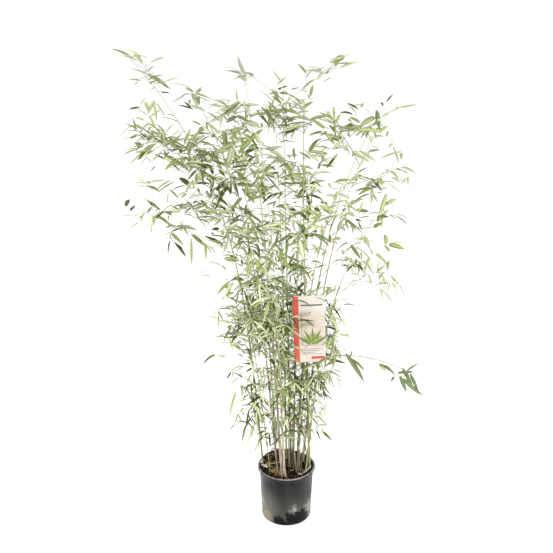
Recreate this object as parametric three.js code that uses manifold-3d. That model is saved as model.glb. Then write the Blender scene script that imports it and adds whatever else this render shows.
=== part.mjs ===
// Potted bamboo: a clump of slender canes in a round nursery pot, with arching tips and
// loose masses of foliage. Units are millimetres, +Z is up, the origin is at the centre of
// the pot's flat underside, and -Y is the side that carries the hanging label.
import * as THREE from 'three';
import { mergeVertices } from 'three/addons/utils/BufferGeometryUtils.js';
import Module from 'manifold-3d';

const wasm = await Module();
wasm.setup();

/** A table keyed by short names, as a list of entries that hold their whole names. */
function named(prefix, table) {
  return Object.entries(table).map(([key, entry]) => ({ name: prefix + key, ...entry }));
}

// ---------------------------------------------------------------- driving dimensions

const GAP = 0.3; // clearance between neighbouring solids
const LIMB_CLEARANCE = GAP / Math.cos(Math.PI / 5); // the same clearance off a five-sided limb's flats
const MASS_CLEARANCE = 1.5 * GAP; // growth of a mass's half sizes that keeps about GAP to its neighbours

const POT = {
  height: 248,
  rimRadius: 129,
  rimHeight: 9,
  shoulderRadius: 120.5,
  footRadius: 110,
  footRound: 9,
  footFlare: 0.4, // how far the wall stands out where the foot's rounding meets it
  lipBevel: 1.5,
  wall: 2.2,
  floor: 3,
  sides: 36,
};

const PROFILE_STEPS = 3; // straight steps that stand for the foot's rounding

const SOIL_TOP = POT.height - 6;
const SOIL_SIDES = 36;

const CANE_SIDES = 5;
const CANE_RINGS = 9;
const CANE_TIP_RADIUS = 1.1; // radius at the very tip of every cane
const CANE_RING_CROWDING = 1.25; // rings lie closer together towards the arching tip
const CANE_TAPER = 0.75; // a cane keeps its thickness low down and thins faster near its tip
const CANE_ARCH_POWER = 4; // for the canes that name no other

const BOUGH_SIDES = 5;
const BOUGH_RINGS = 5;
const BOUGH_TIP_RADIUS = 0.9;
const BOUGH_TAPER = 1;
const BOUGH_ROOT_DEPTH = 4; // how far a bough's root would reach into its cane before it is cut back

const MASS_LUMP = 0.16; // unevenness of a mass, as a share of its half sizes
// Three crossing waves make it: the sines of x, y, z and the mass's number times these.
const LUMP_WAVES = [
  [2.7, 1.9, 0, 1.7],
  [0, 3.1, -2.3, 2.9],
  [2.1, 0, 2.9, -4.1],
];
const LUMP_PEAK = 1.5; // the sum of the three waves that counts as the whole unevenness
const MASS_TIP_TAPER = 0.34; // how much a mass narrows from its middle to its outer tip
const MASS_SAG = 0.1; // how far both ends of a mass hang, as a share of its length
const BIG_MASS = 150; // a mass at least this tall gets the finer grid

const LABEL = {
  width: 127,
  height: 288,
  thickness: 1.2,
  lean: THREE.MathUtils.degToRad(2.8),
  cornerRadius: 5,
  eyeRadius: 1.9, // the two small eyes that the tie passes through
  eyeDrop: 19, // eyes below the card's top edge
  eyeShift: 6, // eyes to the right of the card's middle line
  standOff: 3.6, // from the cane's surface to the card's back
  cane: 'dark_right',
  caneRing: 5, // the tie goes round the cane at this ring
};
const TIE = { width: 2.4, thickness: 1 };

// Canes rise from `foot` at soil level to height `top`. `lean` is the straight drift from
// foot to tip, and `arch` is the extra drift that grows as a power of the height, so that
// the upper part arches outwards.
const CANES = named('cane_', {
  left_edge: { foot: [-106, 5], top: 2035, lean: [-150, 0], arch: [-370, 0], radius: 4.5 },
  left_front: { foot: [-71, -60], top: 1780, lean: [-160, 0], arch: [-310, -20], radius: 3.2 },
  left_back: { foot: [-50, 92], top: 1890, lean: [-140, 10], arch: [-200, 20], radius: 3.5 },
  middle_tall: { foot: [-20, -72], top: 1950, lean: [-105, 0], arch: [-40, 10], radius: 5.5 },
  middle_front: { foot: [-8, -90], top: 1730, lean: [-60, -60], arch: [-30, -190], radius: 5 },
  middle_left: { foot: [-38, -54], top: 1690, lean: [-120, -30], arch: [-170, -60], radius: 4.5 },
  dark_left: { foot: [20, -14], top: 1915, lean: [-40, 10], arch: [0, 0], radius: 4.5 },
  dark_middle: { foot: [30, -40], top: 1590, lean: [10, -50], arch: [20, -260], power: 5, radius: 4.5 },
  dark_right: { foot: [48, -62], top: 1560, lean: [40, -60], arch: [105, -150], radius: 4.8 },
  tan: { foot: [50, 16], top: 1830, lean: [120, 50], arch: [230, 100], radius: 4.2 },
  brown: { foot: [76, 38], top: 1800, lean: [120, -40], arch: [180, -30], radius: 4.5 },
  right_tall: { foot: [104, 0], top: 1950, lean: [-60, 0], arch: [25, 0], power: 6, radius: 6 },
  back_middle: { foot: [0, 45], top: 1820, lean: [-30, 110], arch: [-30, 205], power: 3, radius: 4.2 },
  back_left: { foot: [-45, 24], top: 1630, lean: [-70, 60], arch: [-135, 170], radius: 3.6 },
  back_right: { foot: [26, 90], top: 1570, lean: [40, 110], arch: [75, 180], radius: 3.6 },
  right_front: { foot: [86, -46], top: 1440, lean: [110, 10], arch: [186, 10], radius: 3.8 },
});

// Boughs leave a cane at height `from` towards `azimuth` (degrees, 0 = +X, 90 = +Y), and
// run out by `reach` while they climb by `rise` and hang by `sag`.
const BOUGHS = named('bough_', {
  left_long: { cane: 'left_front', from: 1280, azimuth: 169, reach: 340, rise: 120, sag: -10, radius: 2.4 },
  right_lone: { cane: 'right_front', from: 790, azimuth: 5, reach: 385, rise: 70, sag: 150, radius: 2 },
  right_wing: { cane: 'brown', from: 1520, azimuth: 2, reach: 185, rise: 85, sag: 10, radius: 2 },
  right_droop: { cane: 'tan', from: 1360, azimuth: 50, reach: 130, rise: 75, sag: 40, radius: 2 },
  top_left: { cane: 'dark_left', from: 1860, azimuth: 182, reach: 150, rise: 110, sag: 0, radius: 1.8 },
  top_right: { cane: 'dark_left', from: 1840, azimuth: 358, reach: 200, rise: 170, sag: 20, radius: 1.8 },
});

// Masses of foliage lie at `height`, `out` from the middle of the crown towards `azimuth`.
// `length` runs along that direction, tilted up by `pitch` degrees, `broad` runs across it
// and `tall` is the third size.
const MASSES = named('leaves_', {
  left_shoot: { azimuth: 180, out: 535, height: 1930, length: 230, tall: 115, broad: 60, pitch: 72 },
  left_sprig: { azimuth: 166, out: 400, height: 1865, length: 160, tall: 50, broad: 50, pitch: 5 },
  left_fan: { azimuth: 188, out: 565, height: 1735, length: 225, tall: 130, broad: 60, pitch: 10 },
  left_shoulder: { azimuth: 184, out: 370, height: 1650, length: 230, tall: 150, broad: 80 },
  left_heart: { azimuth: 145, out: 320, height: 1545, length: 290, tall: 170, broad: 120, pitch: -5 },
  left_crest: { azimuth: 218, out: 240, height: 1830, length: 210, tall: 95, broad: 120, pitch: 5 },
  top_left: { azimuth: 180, out: 185, height: 1965, length: 120, tall: 45, broad: 40, pitch: 15 },
  middle_crest: { azimuth: 115, out: 50, height: 1805, length: 160, tall: 130, broad: 120 },
  top_right: { azimuth: 0, out: 210, height: 2005, length: 110, tall: 50, broad: 40, pitch: 15 },
  right_fan_upper: { azimuth: 26, out: 360, height: 1812, length: 240, tall: 75, broad: 80, pitch: 5 },
  right_fan_lower: { azimuth: 354, out: 245, height: 1750, length: 270, tall: 135, broad: 80, pitch: 8 },
  right_wing: { azimuth: 0, out: 345, height: 1515, length: 230, tall: 95, broad: 80, pitch: 5 },
  right_wing_tip: { azimuth: 0, out: 475, height: 1590, length: 165, tall: 80, broad: 50, pitch: -10 },
  right_shoulder: { azimuth: 308, out: 230, height: 1450, length: 190, tall: 170, broad: 120 },
  right_inner_droop: { azimuth: 33, out: 345, height: 1290, length: 280, tall: 110, broad: 75, pitch: -75 },
  right_outer_droop: { azimuth: 356, out: 400, height: 1255, length: 400, tall: 105, broad: 60, pitch: -85 },
  left_long_tip: { azimuth: 180, out: 600, height: 1420, length: 200, tall: 85, broad: 55, pitch: 20 },
  left_long_middle: { azimuth: 186, out: 430, height: 1335, length: 150, tall: 80, broad: 60, pitch: -65 },
  left_tier: { azimuth: 175, out: 370, height: 1430, length: 250, tall: 105, broad: 90, pitch: 5 },
  left_waist: { azimuth: 207, out: 260, height: 1345, length: 200, tall: 200, broad: 110 },
  back_crown: { azimuth: 88, out: 310, height: 1550, length: 240, tall: 250, broad: 260 },
  front_crown: { azimuth: 250, out: 310, height: 1655, length: 220, tall: 190, broad: 240 },
  back_waist: { azimuth: 94, out: 265, height: 1220, length: 210, tall: 270, broad: 260 },
  front_waist: { azimuth: 262, out: 270, height: 1300, length: 220, tall: 270, broad: 230 },
  left_skirt: { azimuth: 177, out: 205, height: 935, length: 200, tall: 290, broad: 120 },
  front_skirt: { azimuth: 250, out: 220, height: 1005, length: 180, tall: 270, broad: 170 },
  right_skirt: { azimuth: 350, out: 200, height: 975, length: 120, tall: 230, broad: 110 },
  right_skirt_low: { azimuth: 18, out: 185, height: 730, length: 120, tall: 210, broad: 100 },
  right_lone_tip: { azimuth: 0, out: 550, height: 680, length: 110, tall: 105, broad: 50, pitch: -30 },
  low_left: { azimuth: 188, out: 160, height: 545, length: 130, tall: 340, broad: 90 },
  low_middle: { azimuth: 268, out: 165, height: 670, length: 120, tall: 250, broad: 170 },
  low_right: { azimuth: 4, out: 150, height: 530, length: 120, tall: 290, broad: 90 },
  back_skirt: { azimuth: 95, out: 220, height: 860, length: 190, tall: 290, broad: 240 },
  back_low: { azimuth: 95, out: 155, height: 500, length: 110, tall: 240, broad: 190 },
});

// ---------------------------------------------------------------- materials

const POT_PLASTIC = { color: 0x2b2f2e, roughness: 0.55, metalness: 0 };
const SOIL_BARK = { color: 0x35241a, roughness: 1, metalness: 0 };
const CANE_GREEN = { color: 0x6f7a35, roughness: 0.5, metalness: 0 };
const CANE_TAN = { color: 0xa8884f, roughness: 0.55, metalness: 0 };
const LEAF_GREEN = { color: 0x4c7030, roughness: 0.6, metalness: 0 };
const LEAF_LIGHT = { color: 0x7c9a3e, roughness: 0.6, metalness: 0 };
const CARD_WHITE = { color: 0xefe4dc, roughness: 0.7, metalness: 0 };
const TIE_CLEAR = { color: 0xb9b4a6, roughness: 0.45, metalness: 0 };

const TAN_CANES = ['cane_middle_tall', 'cane_middle_front', 'cane_middle_left', 'cane_tan', 'cane_brown'];

const group = new THREE.Group();

function addMesh(name, geometry, finish) {
  const mesh = new THREE.Mesh(geometry, new THREE.MeshStandardMaterial(finish));
  mesh.name = name;
  group.add(mesh);
  return mesh;
}

// ---------------------------------------------------------------- solids and geometries

/** A closed geometry as a solid that can be joined and cut. */
function toSolid(geometry) {
  const bare = geometry.clone();
  bare.deleteAttribute('normal');
  bare.deleteAttribute('uv');
  const merged = mergeVertices(bare, 1e-4);
  const vertProperties = new Float32Array(merged.attributes.position.array);
  const triVerts = new Uint32Array(merged.index.array);
  return new wasm.Manifold(new wasm.Mesh({ numProp: 3, vertProperties, triVerts }));
}

/** A solid as a geometry with flat facets. */
function toGeometry(solid) {
  const mesh = solid.getMesh();
  const geometry = new THREE.BufferGeometry();
  geometry.setAttribute('position', new THREE.BufferAttribute(mesh.vertProperties, 3));
  geometry.setIndex(new THREE.BufferAttribute(mesh.triVerts, 1));
  geometry.computeVertexNormals();
  return geometry;
}

/** The largest of the bodies that a cut leaves. */
function largestPiece(solid) {
  return solid.decompose().reduce((best, piece) => (piece.volume() > best.volume() ? piece : best));
}

function boxesMeet(a, b) {
  const p = a.boundingBox();
  const q = b.boundingBox();
  return [0, 1, 2].every((axis) => p.min[axis] < q.max[axis] && q.min[axis] < p.max[axis]);
}

/** Cuts away every tool whose box meets the solid's box, and keeps the largest piece. */
function cutRound(solid, tools) {
  const near = tools.filter((tool) => boxesMeet(solid, tool));
  return largestPiece(near.reduce((rest, tool) => rest.subtract(tool), solid));
}

// ---------------------------------------------------------------- pot and soil

/** Thin-walled cup: an outer and an inner profile from axis to axis, turned about Z. */
function potGeometry() {
  const { height, rimRadius, rimHeight, lipBevel, shoulderRadius, wall, floor } = POT;
  const { footRadius, footRound, footFlare } = POT;
  const profile = new THREE.Path();
  profile.moveTo(0, 0);
  profile.lineTo(footRadius - footRound, 0);
  profile.quadraticCurveTo(footRadius, 0, footRadius + footFlare, footRound);
  profile.lineTo(shoulderRadius, height - rimHeight);
  profile.lineTo(rimRadius - lipBevel, height - rimHeight);
  profile.lineTo(rimRadius, height - rimHeight + lipBevel);
  profile.lineTo(rimRadius, height - lipBevel);
  profile.lineTo(rimRadius - lipBevel, height);
  profile.lineTo(shoulderRadius, height);
  profile.lineTo(shoulderRadius - wall, height - rimHeight);
  profile.lineTo(footRadius - wall, floor);
  profile.lineTo(0, floor);
  return new THREE.LatheGeometry(profile.getPoints(PROFILE_STEPS), POT.sides).rotateX(Math.PI / 2);
}

/** Inner radius of the pot's wall at a height. */
function potInnerRadius(z) {
  const share = (z - POT.floor) / (POT.height - POT.rimHeight - POT.floor);
  return POT.footRadius - POT.wall + share * (POT.shoulderRadius - POT.footRadius);
}

function soilGeometry() {
  const bottom = POT.floor + GAP;
  const profile = [
    new THREE.Vector2(0, bottom),
    new THREE.Vector2(potInnerRadius(bottom) - 2 * GAP, bottom),
    new THREE.Vector2(potInnerRadius(SOIL_TOP) - 2 * GAP, SOIL_TOP),
    new THREE.Vector2(0, SOIL_TOP),
  ];
  return new THREE.LatheGeometry(profile, SOIL_SIDES).rotateX(Math.PI / 2);
}

// ---------------------------------------------------------------- canes and boughs

const CANE_FOOT = SOIL_TOP + GAP;

/** Centre of a cane at share t of its height: foot + lean * t + arch * t ^ power. */
function canePoint(cane, t) {
  const bend = t ** (cane.power ?? CANE_ARCH_POWER);
  return new THREE.Vector3(
    cane.foot[0] + cane.lean[0] * t + cane.arch[0] * bend,
    cane.foot[1] + cane.lean[1] * t + cane.arch[1] * bend,
    CANE_FOOT + (cane.top - CANE_FOOT) * t,
  );
}

function caneNamed(key) {
  return CANES.find((cane) => cane.name === `cane_${key}`);
}

function canePointAt(cane, height) {
  return canePoint(cane, (height - CANE_FOOT) / (cane.top - CANE_FOOT));
}

/** Share of the way at which a ring lies, from its share of the ring count. */
function ringShare(along, crowding) {
  return 1 - (1 - along) ** crowding;
}

/** Radius at share t of a limb: it falls from root to tip as a power of what is left. */
function limbRadius(rootRadius, tipRadius, taper, t) {
  return tipRadius + (rootRadius - tipRadius) * (1 - t) ** taper;
}

/** Centre of a bough at share t of its reach. */
function boughPoint(bough, t) {
  const root = canePointAt(caneNamed(bough.cane), bough.from);
  const azimuth = THREE.MathUtils.degToRad(bough.azimuth);
  const out = bough.reach * t - BOUGH_ROOT_DEPTH * (1 - t);
  return new THREE.Vector3(
    root.x + out * Math.cos(azimuth),
    root.y + out * Math.sin(azimuth),
    root.z + bough.rise * t - bough.sag * t * t,
  );
}

/**
 * A tapering limb: a cylinder's rings are moved onto a centre line, each in the plane
 * spanned by the two side vectors, and closer together towards the tip as crowding grows.
 */
function limbGeometry({ centre, rings, sides, crowding, rootRadius, tipRadius, taper, across, up }) {
  const geometry = new THREE.CylinderGeometry(1, 1, 1, sides, rings);
  const position = geometry.attributes.position;
  const point = new THREE.Vector3();
  for (let i = 0; i < position.count; i += 1) {
    const t = ringShare(0.5 - position.getY(i), crowding);
    const radius = limbRadius(rootRadius, tipRadius, taper, t);
    point.copy(centre(t));
    point.addScaledVector(across, position.getX(i) * radius);
    point.addScaledVector(up, position.getZ(i) * radius);
    position.setXYZ(i, point.x, point.y, point.z);
  }
  return geometry;
}

function caneSolid(cane, extra) {
  const geometry = limbGeometry({
    centre: (t) => canePoint(cane, t),
    rings: CANE_RINGS,
    sides: CANE_SIDES,
    crowding: CANE_RING_CROWDING,
    rootRadius: cane.radius + extra,
    tipRadius: CANE_TIP_RADIUS + extra,
    taper: CANE_TAPER,
    across: new THREE.Vector3(1, 0, 0),
    up: new THREE.Vector3(0, 1, 0),
  });
  return toSolid(geometry);
}

function boughSolid(bough, extra) {
  const azimuth = THREE.MathUtils.degToRad(bough.azimuth);
  const geometry = limbGeometry({
    centre: (t) => boughPoint(bough, t),
    rings: BOUGH_RINGS,
    sides: BOUGH_SIDES,
    crowding: 1,
    rootRadius: bough.radius + extra,
    tipRadius: BOUGH_TIP_RADIUS + extra,
    taper: BOUGH_TAPER,
    across: new THREE.Vector3(-Math.sin(azimuth), Math.cos(azimuth), 0),
    up: new THREE.Vector3(0, 0, 1),
  });
  return toSolid(geometry);
}

// ---------------------------------------------------------------- masses of foliage

/** Unevenness of mass number `seed` in direction (x, y, z). */
function lump(seed, x, y, z) {
  const waves = LUMP_WAVES.map(([a, b, c, d]) => Math.sin(a * x + b * y + c * z + d * seed));
  return 1 + (MASS_LUMP * waves.reduce((sum, wave) => sum + wave)) / LUMP_PEAK;
}

/**
 * A closed uneven mass: a ball whose radius is varied by lump(), stretched to the mass's
 * half sizes, narrowed towards its outer tip, hung at both ends, then tilted and turned.
 */
function massSolid(mass, seed, extra) {
  const detail = mass.tall >= BIG_MASS || mass.length >= 2 * BIG_MASS ? 2 : 1;
  const geometry = new THREE.IcosahedronGeometry(1, detail);
  const position = geometry.attributes.position;
  const half = new THREE.Vector3(mass.length / 2 + extra, mass.broad / 2 + extra, mass.tall / 2 + extra);
  for (let i = 0; i < position.count; i += 1) {
    const x = position.getX(i);
    const y = position.getY(i);
    const z = position.getZ(i);
    const swell = lump(seed, x, y, z);
    const narrow = 1 - MASS_TIP_TAPER * Math.max(x, 0);
    const hang = MASS_SAG * mass.length * x * x;
    position.setXYZ(i, half.x * x * swell, half.y * y * swell * narrow, half.z * z * swell * narrow - hang);
  }
  geometry.rotateY(-THREE.MathUtils.degToRad(mass.pitch ?? 0));
  geometry.translate(mass.out, 0, 0);
  geometry.rotateZ(THREE.MathUtils.degToRad(mass.azimuth));
  geometry.translate(0, 0, mass.height);
  return toSolid(geometry);
}

// ---------------------------------------------------------------- label and its tie

const LABEL_CANE = caneNamed(LABEL.cane);
const LABEL_SHARE = ringShare(LABEL.caneRing / CANE_RINGS, CANE_RING_CROWDING);
const LABEL_CENTRE = canePoint(LABEL_CANE, LABEL_SHARE);
const LABEL_CANE_RADIUS = limbRadius(LABEL_CANE.radius, CANE_TIP_RADIUS, CANE_TAPER, LABEL_SHARE);
const TIE_INNER_RADIUS = LABEL_CANE_RADIUS + 2 * GAP; // the cane leans inside the band
const EYE_OFFSET = TIE_INNER_RADIUS + TIE.thickness / 2; // from the card's middle to each eye

/** Rectangle with round corners, its eyes at height 0, astride the vertical line through 0. */
function cardShape() {
  const right = LABEL.width / 2 - LABEL.eyeShift;
  const left = right - LABEL.width;
  const top = LABEL.eyeDrop;
  const bottom = top - LABEL.height;
  const r = LABEL.cornerRadius;
  const shape = new THREE.Shape();
  shape.absarc(right - r, bottom + r, r, -Math.PI / 2, 0, false);
  shape.absarc(right - r, top - r, r, 0, Math.PI / 2, false);
  shape.absarc(left + r, top - r, r, Math.PI / 2, Math.PI, false);
  shape.absarc(left + r, bottom + r, r, Math.PI, 1.5 * Math.PI, false);
  for (const side of [-1, 1]) {
    const eye = new THREE.Path();
    eye.absarc(side * EYE_OFFSET, 0, LABEL.eyeRadius, 0, 2 * Math.PI, true);
    shape.holes.push(eye);
  }
  return shape;
}

/** The card hangs in front of its cane and leans a little in its own plane. */
function labelGeometry() {
  const card = new THREE.ExtrudeGeometry(cardShape(), {
    depth: LABEL.thickness,
    bevelEnabled: false,
    curveSegments: 4,
  });
  card.rotateZ(LABEL.lean);
  card.rotateX(Math.PI / 2);
  const back = LABEL_CENTRE.y - LABEL_CANE_RADIUS - LABEL.standOff;
  return card.translate(LABEL_CENTRE.x, back, LABEL_CENTRE.z);
}

/** A narrow band round the cane and through both eyes: a straight-sided loop with a round back. */
function tieGeometry() {
  const front = LABEL_CANE_RADIUS + LABEL.standOff + LABEL.thickness + GAP;
  const loop = (path, grow) => {
    const radius = TIE_INNER_RADIUS + grow;
    path.moveTo(radius, -front - grow);
    path.lineTo(radius, 0);
    path.absarc(0, 0, radius, 0, Math.PI, false);
    path.lineTo(-radius, -front - grow);
    path.closePath();
    return path;
  };
  const shape = loop(new THREE.Shape(), TIE.thickness);
  shape.holes.push(loop(new THREE.Path(), 0));
  const band = new THREE.ExtrudeGeometry(shape, { depth: TIE.width, bevelEnabled: false, curveSegments: 5 });
  return band.translate(LABEL_CENTRE.x, LABEL_CENTRE.y, LABEL_CENTRE.z - TIE.width / 2);
}

// ---------------------------------------------------------------- assembly

addMesh('pot', potGeometry(), POT_PLASTIC);
addMesh('soil', soilGeometry(), SOIL_BARK);

const grownCanes = CANES.map((cane) => caneSolid(cane, LIMB_CLEARANCE));
const grownBoughs = BOUGHS.map((bough) => boughSolid(bough, LIMB_CLEARANCE));

for (const cane of CANES) {
  addMesh(cane.name, toGeometry(caneSolid(cane, 0)), TAN_CANES.includes(cane.name) ? CANE_TAN : CANE_GREEN);
}

for (const bough of BOUGHS) {
  addMesh(bough.name, toGeometry(cutRound(boughSolid(bough, 0), grownCanes)), CANE_GREEN);
}

addMesh('label_card', labelGeometry(), CARD_WHITE);
addMesh('label_tie', tieGeometry(), TIE_CLEAR);

const placed = [];
MASSES.forEach((mass, seed) => {
  const solid = cutRound(massSolid(mass, seed, 0), [...grownCanes, ...grownBoughs, ...placed]);
  placed.push(massSolid(mass, seed, MASS_CLEARANCE));
  addMesh(mass.name, toGeometry(solid), seed % 2 ? LEAF_GREEN : LEAF_LIGHT);
});

export default group;
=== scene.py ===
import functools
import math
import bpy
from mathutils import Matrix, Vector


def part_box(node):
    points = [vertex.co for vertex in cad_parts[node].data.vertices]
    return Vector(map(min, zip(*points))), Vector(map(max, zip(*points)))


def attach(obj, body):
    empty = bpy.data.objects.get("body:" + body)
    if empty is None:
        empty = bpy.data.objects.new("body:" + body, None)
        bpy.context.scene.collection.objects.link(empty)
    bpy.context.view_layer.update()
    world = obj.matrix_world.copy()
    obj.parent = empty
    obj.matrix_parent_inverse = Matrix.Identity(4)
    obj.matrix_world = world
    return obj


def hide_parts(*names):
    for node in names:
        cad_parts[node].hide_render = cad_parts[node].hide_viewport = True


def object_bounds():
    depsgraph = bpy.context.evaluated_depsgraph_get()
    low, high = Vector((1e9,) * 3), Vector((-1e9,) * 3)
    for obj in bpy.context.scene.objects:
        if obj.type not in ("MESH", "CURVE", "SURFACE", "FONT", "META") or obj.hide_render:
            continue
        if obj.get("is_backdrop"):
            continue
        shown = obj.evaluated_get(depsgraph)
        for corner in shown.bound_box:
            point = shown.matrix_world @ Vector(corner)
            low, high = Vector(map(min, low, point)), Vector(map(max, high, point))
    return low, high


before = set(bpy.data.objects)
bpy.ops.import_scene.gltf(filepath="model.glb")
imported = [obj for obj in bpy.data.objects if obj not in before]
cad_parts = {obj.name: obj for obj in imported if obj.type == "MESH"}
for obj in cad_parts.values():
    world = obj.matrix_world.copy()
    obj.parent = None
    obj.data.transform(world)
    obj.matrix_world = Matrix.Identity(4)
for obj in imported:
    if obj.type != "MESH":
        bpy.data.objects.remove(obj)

# Potted bamboo: the looks of a clump of slender canes in a round nursery pot. Every new
# surface is worked out with numpy as a grid of points, in metres, where the frame says.
from types import SimpleNamespace

import bpy
import numpy as np
from bpy.props import FloatProperty, FloatVectorProperty, IntProperty, PointerProperty
from bpy.types import Operator, Panel, PropertyGroup

bl_info = {
    "name": "Potted Bamboo",
    "version": (1, 0, 0),
    "blender": (4, 5, 0),
    "location": "View3D > Sidebar > Bamboo",
    "description": "Dresses a clump of bamboo canes, its pot and its label",
    "category": "Add Mesh",
}

MM = 0.001
BODY = "root"  # the node that every piece rides on
UP = np.array([0.0, 0.0, 1.0])
DOWN = -UP

BOX = [np.array(corner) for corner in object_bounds()]  # the frame's own corners
CANES = sorted(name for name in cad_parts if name.startswith("cane_"))
BOUGHS = sorted(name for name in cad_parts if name.startswith("bough_"))
MASSES = sorted(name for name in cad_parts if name.startswith("leaves_"))
TAN_CANES = ("cane_middle_tall", "cane_middle_front", "cane_middle_left", "cane_tan", "cane_brown")
DARK_CANES = ("cane_dark_left", "cane_dark_middle", "cane_dark_right", "cane_left_back", "cane_back_left")
LONE_BOUGH = "bough_right_lone"  # carries the mass LONE_TIP and no other
LONE_TIP = "leaves_right_lone_tip"
LONE_PLACES = (0.3, 0.66)  # short twigs hang from it at these shares of its length
LONE_FALL = 8 * MM  # a third of the length of these twigs
# Thickness of these limbs, as a share of their solids'.
SLIM = {"cane_left_front": 0.65, "cane_middle_left": 0.75, LONE_BOUGH: 1.4}
# Heights from which these canes turn brown.
BROWN_FROM = {
    "cane_middle_left": 0.1,
    "cane_left_edge": 0.42,
    "cane_brown": 0.25,
    "cane_tan": 0.3,
    "cane_left_back": 0.5,
}

# How thickly the masses are leafed, where they differ from the rest.
COVER_GROUPS = {
    0.1: ("top_left",),
    0.3: ("low_middle", "back_low", "right_skirt", "right_wing_tip"),
    0.38: ("front_waist", "left_waist", "front_crown"),
    0.45: ("right_outer_droop",),
    0.5: ("right_fan_upper", "left_heart"),
    0.56: ("right_shoulder", "right_inner_droop"),
    0.7: ("back_waist", "back_crown", "left_long_middle", "left_long_tip", "right_skirt_low"),
    0.85: ("low_right", "left_shoulder", "top_right", "right_fan_lower", "middle_crest"),
    0.95: ("front_skirt",),
    1.2: ("right_wing", "right_lone_tip"),
    1.5: ("low_left", "left_shoot"),
    1.6: ("left_crest", "left_fan", "left_tier"),
    1.8: ("back_skirt", "left_skirt", "left_sprig"),
}
COVER = {f"leaves_{key}": cover for cover, group in COVER_GROUPS.items() for key in group}
# Size of the leaves of these masses, as a share of the rest's.
LEAF_SCALE = {
    LONE_TIP: 1.55,
    "leaves_top_right": 1.35,
    "leaves_top_left": 0.6,
    "leaves_right_skirt": 1.2,
    "leaves_right_outer_droop": 1.15,
}
# Nothing grows between these masses and their neighbours.
ALONE = ("leaves_top_left", "leaves_top_right", "leaves_left_shoot", "leaves_left_sprig", LONE_TIP)
# The leaves of these hanging masses crowd at their lower end.
HANGING = ("leaves_right_outer_droop", "leaves_left_long_middle")
# Where the crown is fuller: the middle across and up, the spread, and the number of extra sprays.
FULLER = (
    (-0.18, 1.4, 0.055, 15),
    (-0.275, 1.43, 0.035, 8),
    (-0.13, 1.24, 0.045, 12),
    (0.02, 1.46, 0.05, 11),
    (-0.2, 1.66, 0.045, 8),
    (-0.36, 1.59, 0.04, 7),
    (-0.365, 1.72, 0.035, 7),
    (0.16, 1.67, 0.035, 4),
    (0.12, 1.03, 0.035, 20),
    (0.045, 1.87, 0.05, 10),
    (0.025, 1.03, 0.03, 13),
    (-0.235, 0.965, 0.03, 7),
    (-0.26, 0.745, 0.03, 3),
    (0.03, 0.685, 0.04, 14),
    (0.02, 0.42, 0.03, 3),
    (-0.09, 0.45, 0.03, 3),
    (0.13, 0.48, 0.03, 3),
    (0.37, 1.14, 0.035, 10),
    (-0.31, 1.19, 0.025, 3),
    (0.255, 1.72, 0.035, 7),
    (0.015, 1.72, 0.035, 4),
    (0.155, 1.81, 0.03, 3),
    (-0.03, 1.43, 0.03, 4),
    (-0.185, 0.65, 0.03, 6),
    (-0.225, 1.58, 0.035, 12),
    (-0.03, 0.8, 0.03, 13),
    (-0.13, 1.02, 0.03, 16),
    (-0.22, 1.33, 0.03, 5),
    (-0.13, 1.33, 0.03, 4),
    (-0.315, 1.675, 0.03, 4),
    (0.12, 0.855, 0.03, 5),
    (-0.41, 1.675, 0.03, 4),
    (0.265, 1.33, 0.03, 3),
    (0.015, 1.6, 0.03, 4),
    (-0.13, 0.85, 0.03, 5),
    (0.075, 0.685, 0.025, 9),
    (-0.59, 1.8, 0.03, 4),
    (-0.08, 1.58, 0.025, 4),
)
# Where it opens: the middle across and up, the reach, and the share of the sprays that stay.
OPENER = (
    (0.3, 1.64, 0.09, 0.2),
    (0.2, 1.76, 0.05, 0.5),
    (0.285, 1.44, 0.07, 0.35),
    (0.065, 1.76, 0.05, 0.4),
    (0.345, 1.72, 0.04, 0.5),
    (0.14, 1.29, 0.08, 0.25),
    (0.065, 1.45, 0.055, 0.4),
    (-0.37, 1.46, 0.06, 0.55),
    (-0.28, 1.28, 0.05, 0.5),
    (-0.33, 1.33, 0.06, 0.5),
    (-0.425, 1.38, 0.04, 0.5),
    (-0.16, 1.77, 0.07, 0.45),
    (-0.08, 1.58, 0.07, 0.75),
    (-0.03, 1.62, 0.03, 0.5),
    (-0.57, 1.44, 0.03, 0.5),
    (-0.32, 1.5, 0.05, 0.5),
    (-0.03, 1.28, 0.04, 0.5),
    (0.35, 1.68, 0.04, 0.4),
    (-0.125, 1.86, 0.04, 0.5),
    (-0.27, 1.63, 0.05, 0.7),
    (0.365, 1.28, 0.05, 0.6),
    (-0.08, 1.07, 0.05, 0.4),
    (-0.13, 0.91, 0.05, 0.2),
    (-0.03, 0.91, 0.04, 0.35),
    (0.075, 0.8, 0.05, 0.3),
    (0.07, 0.96, 0.05, 0.4),
    (0.225, 0.965, 0.04, 0.5),
    (-0.08, 0.57, 0.05, 0.5),
    (0.075, 0.55, 0.06, 0.35),
    (0.405, 1.53, 0.04, 0.5),
    (0.16, 1.6, 0.04, 0.6),
    (-0.13, 1.62, 0.035, 0.6),
    (-0.03, 1.08, 0.05, 0.2),
    (-0.13, 1.13, 0.04, 0.4),
    (-0.23, 1.23, 0.035, 0.6),
    (-0.18, 1.28, 0.035, 0.6),
    (-0.23, 1.06, 0.05, 0.3),
    (-0.27, 1.73, 0.04, 0.5),
    (-0.235, 0.85, 0.04, 0.6),
    (-0.03, 1.5, 0.04, 0.6),
    (0.025, 0.57, 0.03, 0.5),
    (0.165, 1.28, 0.04, 0.5),
    (0.41, 1.43, 0.045, 0.4),
    (0.26, 1.42, 0.03, 0.5),
    (0.31, 1.37, 0.035, 0.5),
    (0.075, 0.57, 0.03, 0.4),
)
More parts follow.
